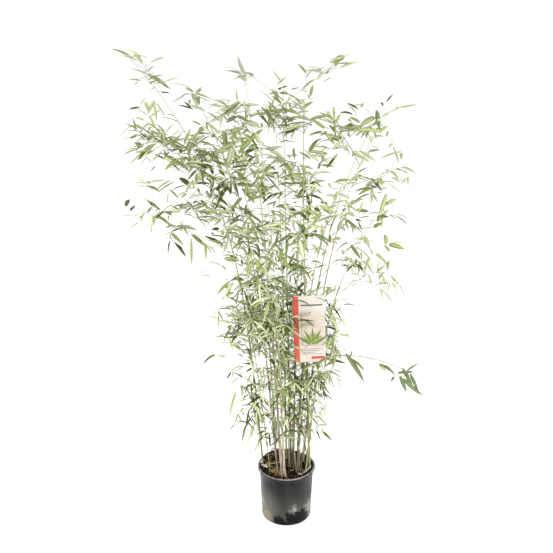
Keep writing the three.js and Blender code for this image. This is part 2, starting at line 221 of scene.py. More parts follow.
# The leaves of these tips point this way, hardly droop and have this tint.
BEARINGS = {
    LONE_TIP: ((0.8, -0.2, -0.5), "cool"),
    "leaves_top_right": ((0.9, 0, 0.35), "middle"),
    "leaves_top_left": ((0.9, 0, -0.3), "grey"),
}


def rgb(code):
    """A six-digit colour code as the linear colour that the shaders take."""
    parts = [int(code[i : i + 2], 16) / 255 for i in (0, 2, 4)]
    return tuple(c / 12.92 if c <= 0.04045 else ((c + 0.055) / 1.055) ** 2.4 for c in parts)


# ------------------------------------------------------------------ settings


def length(text, value):
    """A setting in metres, from its name and description."""
    return FloatProperty(name=text[0], description=text[1], default=value, unit="LENGTH", precision=5)


def share(text, value):
    """A setting that is a share or a strength."""
    return FloatProperty(name=text[0], description=text[1], default=value, min=0, soft_max=1)


def colour(text, code):
    """A setting that is a colour."""
    return FloatVectorProperty(
        name=text[0], description=text[1], default=rgb(code), subtype="COLOR", size=3, min=0, max=1
    )


class PotSettings(PropertyGroup):
    rim_bead: length(("Rim bead", "Radius of the rounded lip"), 1.6 * MM)
    wall: length(("Wall", "Thickness of the plastic"), 2.2 * MM)
    wobble: length(("Wobble", "How far the thin wall is out of round"), 0.5 * MM)
    plastic: colour(("Plastic", "Colour of the clean plastic"), "0c0f10")
    dust: colour(("Dust", "Colour of the dry dust on the plastic"), "62635c")
    earth: colour(("Earth", "Colour of the dried earth on the lip and the foot"), "958b72")
    lime: colour(("Lime", "Colour of the dried lime marks"), "97a294")
    grime: colour(("Grime", "Colour of the damp stains near the foot"), "0b0c08")
    # This colour marks worn specks on the lip, and it also paints the lip's highlight.
    lip_scuff_and_highlight: colour(("Scuffs", "Colour of the worn specks on the lip"), "b7aaa0")


class SoilSettings(PropertyGroup):
    seed: IntProperty(name="Seed", description="Arrangement of the chips and the litter", default=11)
    relief: length(("Relief", "Height of the unevenness of the compost"), 4 * MM)
    chips: IntProperty(name="Chips", description="Number of dark bark chips", default=480)
    litter: IntProperty(name="Litter", description="Number of dry blades", default=64)
    bark: colour(("Bark", "Colour of the damp bark"), "160f0b")
    chip: colour(("Chip", "Colour of the bark chips"), "231711")
    rust: colour(("Rust", "Colour of the drier chips"), "6b4a33")
    split: colour(("Split chip", "Colour of the chips that show their inside"), "b8966a")
    straw: colour(("Straw", "Colour of the dry litter"), "bba468")
    pale: colour(("Pale", "Colour of the bleached scraps by the rim"), "f0ece2")
    stick: colour(("Stick", "Colour of the broken stick"), "c4a58c")


class CaneSettings(PropertyGroup):
    internode: length(("Internode", "Longest distance between two joints"), 150 * MM)
    swell: share(("Swelling", "How far a joint stands out, as a share of the radius"), 0.2)
    slender: share(("Slender", "Share of the frame's thickness that is left high up"), 0.75)
    shoots: IntProperty(name="Shoots", description="Number of thin shoots between the canes", default=22)
    green: colour(("Green", "Colour of the green canes"), "8d9663")
    tan: colour(("Tan", "Colour of the ripe canes"), "bfb29c")
    dark: colour(("Dark", "Colour of the shaded old canes"), "57523f")
    brown: colour(("Brown", "Colour of the canes that ripen brown"), "6f5a45")
    young: colour(("Young", "Colour that every cane has high up"), "a3a97c")
    sheath: colour(("Sheath", "Colour of the papery sheaths"), "c2b492")


class FoliageSettings(PropertyGroup):
    seed: IntProperty(name="Seed", description="Order of the random draws", default=5)
    sprays: FloatProperty(
        name="Sprays", description="Sprays for each square metre of a mass's mean section", default=1250
    )
    leaf: length(("Leaf length", "Mean length of a blade"), 57 * MM)
    blade: share(("Leaf width", "Width of a blade, as a share of its length"), 0.19)
    spacing: length(("Spacing", "Distance along a twig between two leaves"), 17 * MM)
    gap: length(("Gap", "Least distance between two sprays of a mass"), 26 * MM)
    between: share(("Between", "Sprays between neighbouring masses, as a share of those inside them"), 1.3)
    fold: share(("Fold", "How far the margins rise above the midrib, as a share of the half width"), 0.3)
    twig: length(("Twig", "Radius that the twigs and branchlets taper about"), 0.7 * MM)
    stem: colour(("Twig bark", "Colour of the twigs and branchlets"), "858a64")
    # The deep green stands for older leaves, and it also paints the shade inside the clump, above all in the
    # skirt.
    deep: colour(("Deep green", "Colour of the older leaves"), "48591e")
    cool: colour(("Cool green", "Colour of the shaded leaves"), "708052")
    middle: colour(("Middle green", "Colour of most leaves"), "848f53")
    fresh: colour(("Fresh green", "Colour of the young leaves"), "9fac6a")
    lime: colour(("Lime", "Colour of the leaves that catch the light"), "c8cfa2")
    grey: colour(("Grey green", "Colour of the leaves that show their dull side"), "a3aa8b")
    under: colour(("Underside", "Colour of the undersides"), "a8b080")


class LabelSettings(PropertyGroup):
    bow: length(("Bow", "How far the card's middle stands forward"), 2.5 * MM)
    card: colour(("Card", "Colour of the card"), "c7beb6")
    panel: colour(("Panel", "Colour of the tinted panel"), "c6b7ab")
    stripe: colour(("Stripe", "Colour of the stripe and the bar"), "c3452f")
    deep: colour(("Deep blades", "Colour of the longer printed blades"), "65783a")
    light: colour(("Light blades", "Colour of the shorter printed blades"), "8c9c58")
    rule: colour(("Rule", "Colour of the printed rules"), "5d5a58")
    tie: colour(("Tie", "Colour of the band that the card hangs on"), "b9b4a6")


class StageSettings(PropertyGroup):
    distance: length(("Distance", "From the pot's axis to the camera"), 3.0)
    eye: length(("Eye height", "Height of the camera"), 2.08)
    pitch: FloatProperty(
        name="Pitch", description="How far the camera looks down", default=math.radians(17.4), subtype="ANGLE"
    )
    yaw: FloatProperty(
        name="Yaw", description="Turn of the camera to the left", default=math.radians(0.857), subtype="ANGLE"
    )
    lens: FloatProperty(name="Lens", description="Focal length in mm on a 36 mm sensor", default=49.0)
    sky: share(("Surround", "Strength of the white surround"), 1.0)
    glow: share(("Floor glow", "Light that the pale floor gives off by itself"), 0.16)


# ------------------------------------------------------------------ arrays and meshes


def unit(v):
    """Vectors of length 1 along the last axis."""
    return v / np.maximum(np.linalg.norm(v, axis=-1, keepdims=True), 1e-12)


def grid_faces(rows, columns, closed=False):
    """Faces of a grid numbered row by row; closed joins the last column to the first."""
    across = columns if closed else columns - 1
    r = columns * np.arange(rows - 1)[:, None]
    c = np.arange(across)[None, :]
    side = (c + 1) % columns
    corners = np.broadcast_arrays(r + c, r + side, r + side + columns, r + c + columns)
    return np.stack(corners, -1).reshape(-1, 4)


def pole_faces(rows, turns):
    """
    Faces of a closed body of rings: the grid of its wall, and the fans from its first and
    last ring to the two poles, whose points follow those of the rings.
    """
    ring = np.arange(turns)
    after = (ring + 1) % turns
    last = (rows - 1) * turns
    foot = np.stack([after, ring, np.full(turns, rows * turns)], -1)
    head = np.stack([last + ring, last + after, np.full(turns, rows * turns + 1)], -1)
    return [grid_faces(rows, turns, True), foot, head]


def copies(faces, size, count):
    """The same faces for each of count bodies that hold size points each."""
    return (faces[None] + size * np.arange(count)[:, None, None]).reshape(-1, faces.shape[1])


def tubes(paths, radii, sides):
    """
    Closed round tubes, many at once: point = centre + radius * (side * cos a + up * sin a),
    where side and up are square to the path and a runs once round.
    """
    count, rows = radii.shape
    tangent = unit(np.gradient(paths, axis=1))
    chord = np.abs(paths[:, -1] - paths[:, 0])
    helper = np.eye(3)[np.argmin(chord, axis=1)][:, None, :]
    side = unit(np.cross(tangent, helper))
    up = np.cross(tangent, side)
    a = 2 * np.pi * np.arange(sides) / sides
    around = np.cos(a)[:, None] * side[:, :, None, :] + np.sin(a)[:, None] * up[:, :, None, :]
    points = paths[:, :, None, :] + radii[:, :, None, None] * around
    ring = np.arange(sides)
    wall = copies(grid_faces(rows, sides, True), rows * sides, count)
    root = copies(ring[None, ::-1], rows * sides, count)
    tip = copies((rows - 1) * sides + ring[None, :], rows * sides, count)
    return points.reshape(-1, 3), [wall, root, tip]


def turned(radius, height, turns):
    """
    A closed lathe body: the profile's points go round the axis, and its first and last
    points, which lie on the axis, become poles.
    """
    a = 2 * np.pi * np.arange(turns) / turns
    r = radius[1:-1]
    z = height[1:-1]
    wall = np.stack([r[:, None] * np.cos(a), r[:, None] * np.sin(a), np.repeat(z[:, None], turns, 1)], -1)
    points = np.vstack([wall.reshape(-1, 3), [0, 0, height[0]], [0, 0, height[-1]]])
    return points, pole_faces(len(r), turns)


def thick_sheets(points, thickness):
    """
    Closed thin sheets, many at once: each grid of points is copied half the thickness to
    either side along its normals, and the two copies are joined round the edge.
    """
    count, rows, columns, _ = points.shape
    across = np.gradient(points, axis=2)
    along = np.gradient(points, axis=1)
    normal = unit(np.cross(across, along))
    front = points + normal * thickness / 2
    back = points - normal * thickness / 2
    size = rows * columns
    face = grid_faces(rows, columns)
    index = np.arange(size).reshape(rows, columns)
    edge = np.concatenate([index[0, :-1], index[:-1, -1], index[-1, :0:-1], index[:0:-1, 0]])
    after = np.roll(edge, -1)
    rim = np.stack([edge, edge + size, after + size, after], -1)
    both = np.concatenate([front.reshape(count, size, 3), back.reshape(count, size, 3)], axis=1)
    faces = np.concatenate([face, face[:, ::-1] + size, rim])
    return both.reshape(-1, 3), [copies(faces, 2 * size, count)]


def join(parts):
    """Several (points, face lists) as one."""
    points = []
    faces = []
    start = 0
    for some, lists in parts:
        points.append(some)
        faces += [face + start for face in lists]
        start += len(some)
    return np.concatenate(points), faces


def new_piece(name, body, finishes, replaced=(), face_finish=None, marks=None, smooth=True):
    """One mesh object from (points, face lists), with its finishes and its numbers for each point."""
    points, faces = body
    corners = np.concatenate([face.ravel() for face in faces]).astype(np.int32)
    sizes = np.concatenate([np.full(len(face), face.shape[1]) for face in faces])
    starts = np.concatenate(([0], np.cumsum(sizes)[:-1])).astype(np.int32)
    mesh = bpy.data.meshes.new(name)
    mesh.vertices.add(len(points))
    mesh.vertices.foreach_set("co", points.astype(np.float32).ravel())
    mesh.loops.add(len(corners))
    mesh.loops.foreach_set("vertex_index", corners)
    mesh.polygons.add(len(sizes))
    mesh.polygons.foreach_set("loop_start", starts)
    mesh.polygons.foreach_set("use_smooth", np.full(len(sizes), smooth))
    for finish in finishes:
        mesh.materials.append(finish)
    if face_finish is not None:
        mesh.polygons.foreach_set("material_index", face_finish.astype(np.int32))
    for key, values in (marks or {}).items():
        mark = mesh.attributes.new(key, "FLOAT", "POINT")
        mark.data.foreach_set("value", values.astype(np.float32).ravel())
    mesh.update(calc_edges=True)
    if mesh.validate():
        raise RuntimeError(f"{name}: the mesh has broken faces")
    piece = bpy.data.objects.new(name, mesh)
    bpy.context.scene.collection.objects.link(piece)
    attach(piece, BODY)
    if replaced:
        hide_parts(*replaced)
    return piece


# ------------------------------------------------------------------ finishes


class Finish:
    """A material round one Principled shader, with short ways to add nodes in front of it."""

    def __init__(self, name, base=(0.8, 0.8, 0.8), **values):
        self.material = bpy.data.materials.new(name)
        self.material.use_nodes = True
        self.tree = self.material.node_tree
        self.shader = next(n for n in self.tree.nodes if n.type == "BSDF_PRINCIPLED")
        self.shader.inputs["Base Color"].default_value = (*base, 1)
        for key, value in values.items():
            self.shader.inputs[key.replace("_", " ")].default_value = value
        self.place = None

    def node(self, kind, links=None, values=None, **fields):
        """A new node with its links, the values of its sockets and its own fields."""
        made = self.tree.nodes.new(kind)
        for key, value in fields.items():
            setattr(made, key, value)
        for key, value in (values or {}).items():
            made.inputs[key].default_value = value
        for key, source in (links or {}).items():
            self.tree.links.new(source, made.inputs[key])
        return made

    def where(self, stretch=(1, 1, 1)):
        """Object coordinates, stretched along each axis."""
        if self.place is None:
            self.place = self.node("ShaderNodeTexCoord").outputs["Object"]
        return self.node("ShaderNodeMapping", {"Vector": self.place}, {"Scale": stretch}).outputs[0]

    def noise(self, scale, detail=4, stretch=(1, 1, 1), rough=0.55):
        """Cloudy noise about 0.5, with scale clouds to the metre."""
        values = {"Scale": scale, "Detail": detail, "Roughness": rough}
        return self.node("ShaderNodeTexNoise", {"Vector": self.where(stretch)}, values).outputs["Fac"]

    def cells(self, scale):
        """Distance from the nearest of many scattered points."""
        made = self.node("ShaderNodeTexVoronoi", {"Vector": self.where()}, {"Scale": scale})
        return made.outputs["Distance"]

    def height(self):
        """Height above the ground."""
        made = self.node("ShaderNodeSeparateXYZ", {"Vector": self.where()})
        return made.outputs["Z"]

    def away(self, middle):
        """Distance from a place."""
        made = self.node("ShaderNodeVectorMath", {0: self.where()}, {1: middle}, operation="DISTANCE")
        return made.outputs["Value"]

    def mark(self, key):
        """A number that the piece has for each of its points."""
        return self.node("ShaderNodeAttribute", attribute_name=key).outputs["Fac"]

    def between(self, source, low, high, to=(0, 1)):
        """Source from low..high onto to, smoothly and held at the ends."""
        values = {"From Min": low, "From Max": high, "To Min": to[0], "To Max": to[1]}
        made = self.node("ShaderNodeMapRange", {"Value": source}, values, interpolation_type="SMOOTHSTEP")
        return made.outputs[0]

    def maths(self, kind, a, b):
        """One operation, such as ADD, on two numbers or sockets."""
        made = self.node("ShaderNodeMath", operation=kind)
        for socket, value in zip(made.inputs, (a, b)):
            if isinstance(value, (int, float)):
                socket.default_value = value
            else:
                self.tree.links.new(value, socket)
        return made.outputs[0]

    def times(self, a, b):
        """The product of two numbers or sockets."""
        return self.maths("MULTIPLY", a, b)

    def blend(self, share, a, b):
        """Colour a turning into colour b with share."""
        made = self.node("ShaderNodeMix", {"Factor": share}, data_type="RGBA")
        colours = [i for i in made.inputs if i.type == "RGBA"]
        for socket, value in zip(colours, (a, b)):
            if isinstance(value, bpy.types.NodeSocket):
                self.tree.links.new(value, socket)
            else:
                socket.default_value = (*value, 1)
        return next(o for o in made.outputs if o.type == "RGBA")

    def coats(self, base, *layers):
        """A colour under thin coats: each (share, strength, tint) covers it by share * strength."""
        for share, strength, tint in layers:
            base = self.blend(self.times(share, strength), base, tint)
        return base

    def wear(self, base=None, roughness=None, bump=None, lift=1.0, distance=MM):
        """Leads a colour, a roughness and a height into the shader."""
        if base is not None:
            self.tree.links.new(base, self.shader.inputs["Base Color"])
        if roughness is not None:
            self.tree.links.new(roughness, self.shader.inputs["Roughness"])
        if bump is not None:
            values = {"Strength": lift, "Distance": distance}
            made = self.node("ShaderNodeBump", {"Height": bump}, values)
            self.tree.links.new(made.outputs[0], self.shader.inputs["Normal"])
        return self.material


def scaled(tint, factor):
    """A colour made darker or lighter."""
    return tuple(factor * c for c in tint)


# Marks on the pot's wall: the middle of each and how far it reaches.
EARTH_MARKS = (((-0.085, -0.075, 0.03), 0.07), ((-0.11, -0.03, 0.08), 0.08), ((0.04, 0.11, 0.05), 0.12))
LIME_MARKS = (((0.037, -0.11, 0.082), 0.05), ((0.105, -0.05, 0.06), 0.09), ((-0.06, 0.1, 0.08), 0.06))
DAMP_MARKS = (
    ((0.052, -0.104, 0.03), 0.07),
    ((0.08, -0.08, 0.03), 0.05),
    ((0.0, -0.12, 0.005), 0.06),
    ((0.018, -0.11, 0.04), 0.05),
    ((0.07, -0.09, 0.045), 0.05),
    ((-0.031, -0.112, 0.02), 0.055),
    ((-0.1, 0.05, 0.01), 0.09),
    ((0.08, 0.08, 0), 0.08),
)


def pot_finish(look):
    """
    Charcoal plastic with a thin bloom of dust that thickens downward, leaving the wall
    under the rim darker as painted shade from the rim; upright rub marks; dried earth, lime
    and damp stains near the foot; a lighter left side that is partly earth and lime and partly
    a painted reflection; and a lip lightened with dust and pale specks, partly scuffs and
    partly a painted highlight.
    """
    made = Finish("pot_plastic", Specular_IOR_Level=0.08, Sheen_Weight=0.14, Sheen_Roughness=0.3)
    height = made.height()
    ragged = made.between(made.noise(48, 9, rough=0.78), 0.3, 0.7, (-0.5, 0.5))
    mottle = made.between(made.noise(130, 5, (1, 1, 0.6), 0.7), 0.3, 0.7, (0.45, 1))

    def marks(places, full):
        """The union of the marks: each fades from its middle, and the noise tears its edge."""
        whole = 0
        for middle, reach in places:
            whole = made.maths("MAXIMUM", whole, made.between(made.away(middle), reach, 0))
        return made.between(made.maths("ADD", whole, ragged), 0.3, full)

    bloom = made.between(made.noise(11, 6, (1, 1, 0.35)), 0.42, 0.7)
    rubs = made.between(made.noise(40, 5, (1, 1, 0.1)), 0.5, 0.75)
    # Dust that thickens downward; the clean dark wall left under the rim is painted shade from the rim.
    low_dust_and_rim_shade = made.between(height, 0.24, 0.04)
    # Lighter left side: earth and lime, and a painted reflection along the wall's left edge.
    side = made.between(made.away((-0.14, -0.05, 0.08)), 0.15, 0.04)
    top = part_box("pot")[1].z
    band = made.between(height, top - 10 * MM, top - 7 * MM)
    # The lip's dust and pale specks are partly scuffs and partly a painted highlight.
    lip = made.between(height, top - 4 * MM, top - MM)
    crumbs = made.between(made.noise(110, 6, rough=0.75), 0.4, 0.58)
    wettest = made.maths("MAXIMUM", mottle, 0.8)
    base = made.coats(
        look.plastic,
        (made.times(bloom, low_dust_and_rim_shade), 0.2, look.dust),
        (rubs, 0.15, look.dust),
        (low_dust_and_rim_shade, 0.36, look.dust),
        (side, 0.16, look.earth),
        (side, 0.16, look.lime),
        (band, 0.12, look.dust),
        (made.times(mottle, marks(EARTH_MARKS, 1)), 0.9, look.earth),
        (made.times(mottle, marks(LIME_MARKS, 1.1)), 0.85, look.lime),
        (made.times(wettest, marks(DAMP_MARKS, 0.55)), 1.25, look.grime),
        (lip, 0.35, look.dust),
        (made.times(crumbs, lip), 0.6, look.lip_scuff_and_highlight),
    )
    rough = made.between(made.noise(30, 4), 0.3, 0.7, (0.34, 0.55))
    return made.wear(base, rough, made.noise(180, 3), 0.25, 0.2 * MM)


def compost_finish(look):
    """Damp bark compost: dark crumbs with lighter fibres between them."""
    made = Finish("bark_compost", Roughness=0.95, Specular_IOR_Level=0.15)
    crumbs = made.between(made.cells(170), 0.1, 0.6)
    fibres = made.between(made.noise(120, 6, rough=0.7), 0.5, 0.7)
    base = made.blend(crumbs, scaled(look.bark, 0.45), look.bark)
    base = made.coats(base, (fibres, 0.6, scaled(look.bark, 2.6)))
    return made.wear(base, None, made.noise(160, 6), 0.9, 2 * MM)


def chip_finish(name, tint):
    """A split chip of bark, streaked along its length."""
    made = Finish(name, Roughness=0.9, Specular_IOR_Level=0.15)
    streaks = made.noise(140, 5, (1, 1, 2.5), 0.65)
    base = made.blend(made.between(streaks, 0.35, 0.65), scaled(tint, 0.5), tint)
    return made.wear(base, None, streaks, 0.7, MM)


def straw_finish(name, tint):
    """Dry papery scraps: bleached, with darker fibres and specks."""
    made = Finish(name, Roughness=0.75)
    fibres = made.between(made.noise(240, 5), 0.4, 0.7)
    specks = made.between(made.noise(90, 3), 0.62, 0.72)
    base = made.blend(fibres, tint, scaled(tint, 0.62))
    base = made.coats(base, (specks, 0.5, scaled(tint, 0.3)))
    return made.wear(base, None, fibres, 0.3, 0.3 * MM)


def cane_finish(look, name, tint):
    """
    Cane skin: waxy, streaked along the cane, with a pale bloom under each joint, a dark
    scar on it and blotches of weathering. joint runs from 0 at a joint to 1 at the next,
    and brown is the share of the ripe brown colour.
    """
    made = Finish(name, Roughness=0.42, Specular_IOR_Level=0.4)
    joint = made.mark("joint")
    streaks = made.between(made.noise(260, 4, (1, 1, 0.06)), 0.35, 0.7)
    blotch = made.between(made.noise(16, 5, (1, 1, 0.5), 0.6), 0.5, 0.68)
    stripes = made.between(made.noise(75, 4, (1, 1, 0.16), 0.6), 0.42, 0.62)
    bloom = made.between(joint, 0.86, 0.98)
    scar = made.between(joint, 0.045, 0.0)
    young = made.between(made.height(), 0.75, 1.35)
    pale = tuple(min(1, 1.5 * c + 0.04) for c in tint)
    brown = (0.26 * tint[0] + 0.06, 0.22 * tint[0] + 0.035, 0.1 * tint[0] + 0.012)
    base = made.coats(
        made.blend(made.mark("brown"), tint, look.brown),
        (streaks, 0.45, scaled(tint, 0.42)),
        (stripes, 0.55, scaled(tint, 0.4)),
        (blotch, 0.6, brown),
        (young, 0.85, look.young),
        (bloom, 0.6, pale),
        (scar, 0.8, brown),
    )
    rough = made.between(blotch, 0, 1, (0.38, 0.66))
    return made.wear(base, rough, streaks, 0.3, 0.2 * MM)


SHEATH_STAIN = (0.12, 0.07, 0.03)


def sheath_finish(look):
    """Papery sheath: straw colour with long fibres and mottled brown patches."""
    made = Finish("sheath_paper", Roughness=0.7)
    fibres = made.between(made.noise(300, 4, (1, 1, 0.05)), 0.35, 0.7)
    mottle = made.between(made.noise(45, 5, (1, 1, 0.5), 0.65), 0.5, 0.7)
    base = made.coats(look.sheath, (fibres, 0.6, scaled(look.sheath, 0.5)), (mottle, 0.5, SHEATH_STAIN))
    return made.wear(base, None, fibres, 0.5, 0.3 * MM)


def leaf_finish(name, tint):
    """A thin waxy blade of one plain colour."""
    return Finish(name, tint, Roughness=0.5, Specular_IOR_Level=0.18).material


def card_finish(name, tint):
    """Coated card with a faint mottle and a soft gloss."""
    made = Finish(name, Roughness=0.4)
    mottle = made.between(made.noise(35, 4), 0.35, 0.7)
    base = made.coats(tint, (mottle, 0.35, scaled(tint, 0.86)))
    return made.wear(base, None, made.noise(60, 3), 0.1, 0.3 * MM)


# ------------------------------------------------------------------ limbs from the frame

LIMB_SEED = 3
RING_GAP = 3 * MM  # rings of a limb lie further apart than this
LINE_STEP = 8 * MM  # spacing of the points on a limb's smooth centre line
FIRST_JOINT = 25 * MM  # from a limb's root
LAST_JOINT = 30 * MM  # from its tip, at least
BOUGH_INTERNODE = 0.4  # longest internode of a bough and of a shoot, as a share of the canes'
SHOOT_INTERNODE = 0.7


def node_vertices(name):
    """The vertices of a CAD node in the mesh's own order, as (count, xyz)."""
    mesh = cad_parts[name].data
    flat = np.empty(3 * len(mesh.vertices))
    mesh.vertices.foreach_get("co", flat)
    return flat.reshape(-1, 3)


@functools.cache
def node_points(name):
    """The corner points of a CAD node, each once."""
    return np.unique(node_vertices(name).round(6), axis=0)


@functools.cache
def node_triangles(name):
    """The triangles of a CAD node as (count, corner, xyz)."""
    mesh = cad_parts[name].data
    corners = np.empty(3 * len(mesh.polygons), np.int32)
    mesh.loops.foreach_get("vertex_index", corners)
    return node_vertices(name)[corners].reshape(-1, 3, 3)


def node_box(name):
    """The two corners of a CAD node's box."""
    return [np.array(corner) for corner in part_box(name)]


def in_box(points, box, more):
    """Which points lie in a box that is larger by more on every side."""
    low, high = box
    return np.all((points > low - more) & (points < high + more), axis=-1)


def rings(points, axis):
    """Points sorted along the axis and split into rings at each wide gap: the centres and radii."""
    along = points @ axis
    order = np.argsort(along)
    points = points[order]
    ring = np.concatenate(([0], np.cumsum(np.diff(along[order]) > RING_GAP)))
    count = np.bincount(ring)
    centre = np.stack([np.bincount(ring, points[:, k]) / count for k in range(3)], axis=1)
    radius = np.zeros(len(count))
    np.maximum.at(radius, ring, np.linalg.norm(points - centre[ring], axis=1))
    return centre, radius


def spline(knots, values, at):
    """
    Natural cubic spline through values at the knots, read at the given places. Its second
    derivatives solve the usual banded system, with none at the two ends.
    """
    gap = np.diff(knots)
    inner = np.arange(1, len(knots) - 1)
    system = np.eye(len(knots))
    system[inner, inner - 1] = gap[:-1]
    system[inner, inner] = 2 * (gap[:-1] + gap[1:])
    system[inner, inner + 1] = gap[1:]
    right = np.zeros_like(values)
    right[1:-1] = 6 * np.diff(np.diff(values, axis=0) / gap[:, None], axis=0)
    bend = np.linalg.solve(system, right)
    k = np.clip(np.searchsorted(knots, at) - 1, 0, len(gap) - 1)
    a = ((knots[k + 1] - at) / gap[k])[:, None]
    b = 1 - a
    sixth = gap[k][:, None] ** 2 / 6
    return a * values[k] + b * values[k + 1] + ((a**3 - a) * bend[k] + (b**3 - b) * bend[k + 1]) * sixth


def joint_places(span, longest, rng):
    """
    Places of the joints along a limb: close at the foot, widest in the middle and close
    again at the tip, as the sine of a half turn.
    """
    places = [FIRST_JOINT]
    while places[-1] < span - LAST_JOINT:
        t = places[-1] / span
        step = longest * (0.42 + 0.58 * math.sin(math.pi * min(1, 0.12 + 0.85 * t) ** 0.8))
        places.append(places[-1] + step * rng.uniform(0.88, 1.12))
    return np.array(places[:-1])


def make_limb(name, centre, radius, longest, rng):
    """A limb's smooth centre line, radius, tangents and joints."""
    knots = np.concatenate(([0], np.cumsum(np.linalg.norm(np.diff(centre, axis=0), axis=1))))
    along = np.linspace(0, knots[-1], max(8, int(knots[-1] / LINE_STEP)))
    line = spline(knots, centre, along)
    limb = SimpleNamespace(name=name, along=along, line=line)
    limb.radius = np.interp(along, knots, radius)
    limb.tangent = unit(np.gradient(line, axis=0))
    limb.joints = joint_places(along[-1], longest, rng)
    return limb


def at_places(limb, values, places):
    """A limb's values read at places along it."""
    return np.stack([np.interp(places, limb.along, values[:, k]) for k in range(values.shape[1])], axis=1)


def gaps(line, place):
    """Distances of a line's points from a place."""
    return np.linalg.norm(line - place, axis=1)


def find_limbs(longest):
    """All canes, then all boughs, each bough starting on the centre line of its cane."""
    rng = np.random.default_rng(LIMB_SEED)
    canes = [make_limb(name, *rings(node_points(name), UP), longest, rng) for name in CANES]
    boughs = []
    for name in BOUGHS:
        points = node_points(name)
        flat = points[:, :2] - points[:, :2].mean(axis=0)
        axis = np.append(np.linalg.svd(flat, full_matrices=False)[2][0], 0)
        centre, radius = rings(points, axis)
        away = [[gaps(cane.line, end).min() for cane in canes] for end in (centre[0], centre[-1])]
        if min(away[0]) > min(away[1]):
            centre = centre[::-1]
            radius = radius[::-1]
            away = away[::-1]
        cane = canes[int(np.argmin(away[0]))]
        root = cane.line[np.argmin(gaps(cane.line, centre[0]))]
        centre = np.vstack([root, centre[1:]])
        boughs.append(make_limb(name, centre, radius, BOUGH_INTERNODE * longest, rng))
    return canes, boughs


# ------------------------------------------------------------------ canes and boughs

# The skins of the canes, and the slot that each fills.
SLOTS = {"green": "cane_green", "tan": "cane_tan", "dark": "cane_green"}
CANE_SIDES = 12
BOUGH_SIDES = 8
CANE_STEP = 18 * MM
BOUGH_STEP = 12 * MM
FOOT_DEPTH = 12 * MM  # how far the canes reach down below the frame's feet
JOINT_ROWS = np.array([-7, -4.5, -3.2, -2.4, -1.4, 0, 1.2, 2.4, 4.5]) * MM  # rows about a joint
RIDGE_WIDTH = 2.6 * MM
RING_WIDTH = 0.9 * MM
SLENDER_HEIGHTS = (0.8, 1.5)  # the canes grow slender between these heights
BROWN_RISE = 0.15  # height in which a cane turns brown
MOST_BROWN = 0.85
SHOOT_BROWN = 0.3


def limb_body(limb, look, sides, row_step, foot_depth=0.0):
    """
    A jointed limb: rows lie a step apart and crowd round each joint. The radius is the
    frame's, plus a low rounded ridge on each joint and a thin ring just below it, both
    e to the power of minus the square of the distance over their width, and each row is a
    circle square to the centre line.
    """
    span = limb.along[-1]
    crowded = (limb.joints[:, None] + JOINT_ROWS).ravel()
    rows = np.unique(np.concatenate([np.arange(0, span, row_step), crowded, [span]]).round(5))
    rows = rows[(rows >= 0) & (rows <= span)]
    path = at_places(limb, limb.line, rows)
    radius = np.interp(rows, limb.along, limb.radius)
    radius = radius * SLIM.get(limb.name, 1) * np.interp(path[:, 2], SLENDER_HEIGHTS, [1, look.slender])
    off = rows[:, None] - limb.joints
    ridge = np.exp(-((off / RIDGE_WIDTH) ** 2)).sum(axis=1)
    ring = np.exp(-(((off + RIDGE_WIDTH) / RING_WIDTH) ** 2)).sum(axis=1)
    radius = radius * (1 + look.swell * (0.55 * ridge + 0.6 * ring))
    if foot_depth:
        path = np.vstack([path[0] + foot_depth * DOWN, path])
        radius = np.append(radius[0], radius)
        rows = np.append(-foot_depth, rows)
    ends = np.concatenate(([-foot_depth - MM], limb.joints, [span + MM]))
    k = np.clip(np.searchsorted(ends, rows, side="right") - 1, 0, len(ends) - 2)
    joint = (rows - ends[k]) / (ends[k + 1] - ends[k])
    points, faces = tubes(path[None], radius[None], sides)
    return (points, faces), np.repeat(joint, sides)


SHOOT_SEED = 17
SHOOT_SIDES = 7
SHOOT_STEP = 30 * MM
SHOOT_HEIGHTS = (0.42, 1.05)  # lowest and highest top of a shoot
SHOOT_AWAY = (9, 27)  # least and most distance from the cane at the foot, in millimetres
SHOOT_RADIUS = (0.9, 2)  # thinnest and thickest shoot, in millimetres
CARD_ROOM = 15 * MM  # no shoot comes closer to the card
SHOOT_CROWD = ((0.34, 0.42, 0.7, 1.0), (0, 0.9, 0.8, 0.5))  # twigs from a joint, at heights


def find_shoots(canes, look):
    """
    Thin shoots that stand close to the canes. Each keeps to a cane's centre line at an
    offset of its own that one slow wave sways, its radius falls to half along it, and it
    has the skin, and the name, of the cane that it is like.
    """
    rng = np.random.default_rng(SHOOT_SEED)
    near = [cane for cane in canes if cane.name in TAN_CANES + DARK_CANES[:3]]
    card = node_box("label_card")
    shoots = []
    for index in range(look.shoots):
        cane = near[index % len(near)]
        z = np.linspace(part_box("soil")[1].z - 8 * MM, rng.uniform(*SHOOT_HEIGHTS), 9)
        centre = np.stack([np.interp(z, cane.line[:, 2], cane.line[:, k]) for k in range(3)], axis=1)
        centre[:, 2] = z
        turn = rng.uniform(0, 2 * np.pi) + 0.8 * np.sin(5 * z + rng.uniform(0, 6))
        away = rng.uniform(*SHOOT_AWAY) * MM * (1 + 0.6 * (z - z[0]))
        centre += away[:, None] * np.stack([np.cos(turn), np.sin(turn), 0 * turn], axis=1)
        radius = rng.uniform(*SHOOT_RADIUS) * MM * np.linspace(1, 0.5, len(z))
        like = rng.choice(("cane_tan", "cane_dark_left"), p=(0.45, 0.55))
        if not in_box(centre, card, CARD_ROOM).any():
            shoots.append(make_limb(like, centre, radius, SHOOT_INTERNODE * look.internode, rng))
    return shoots


def cane_kind(name):
    """Which of the three skins a cane has."""
    if name in TAN_CANES:
        return "tan"
    return "dark" if name in DARK_CANES else "green"


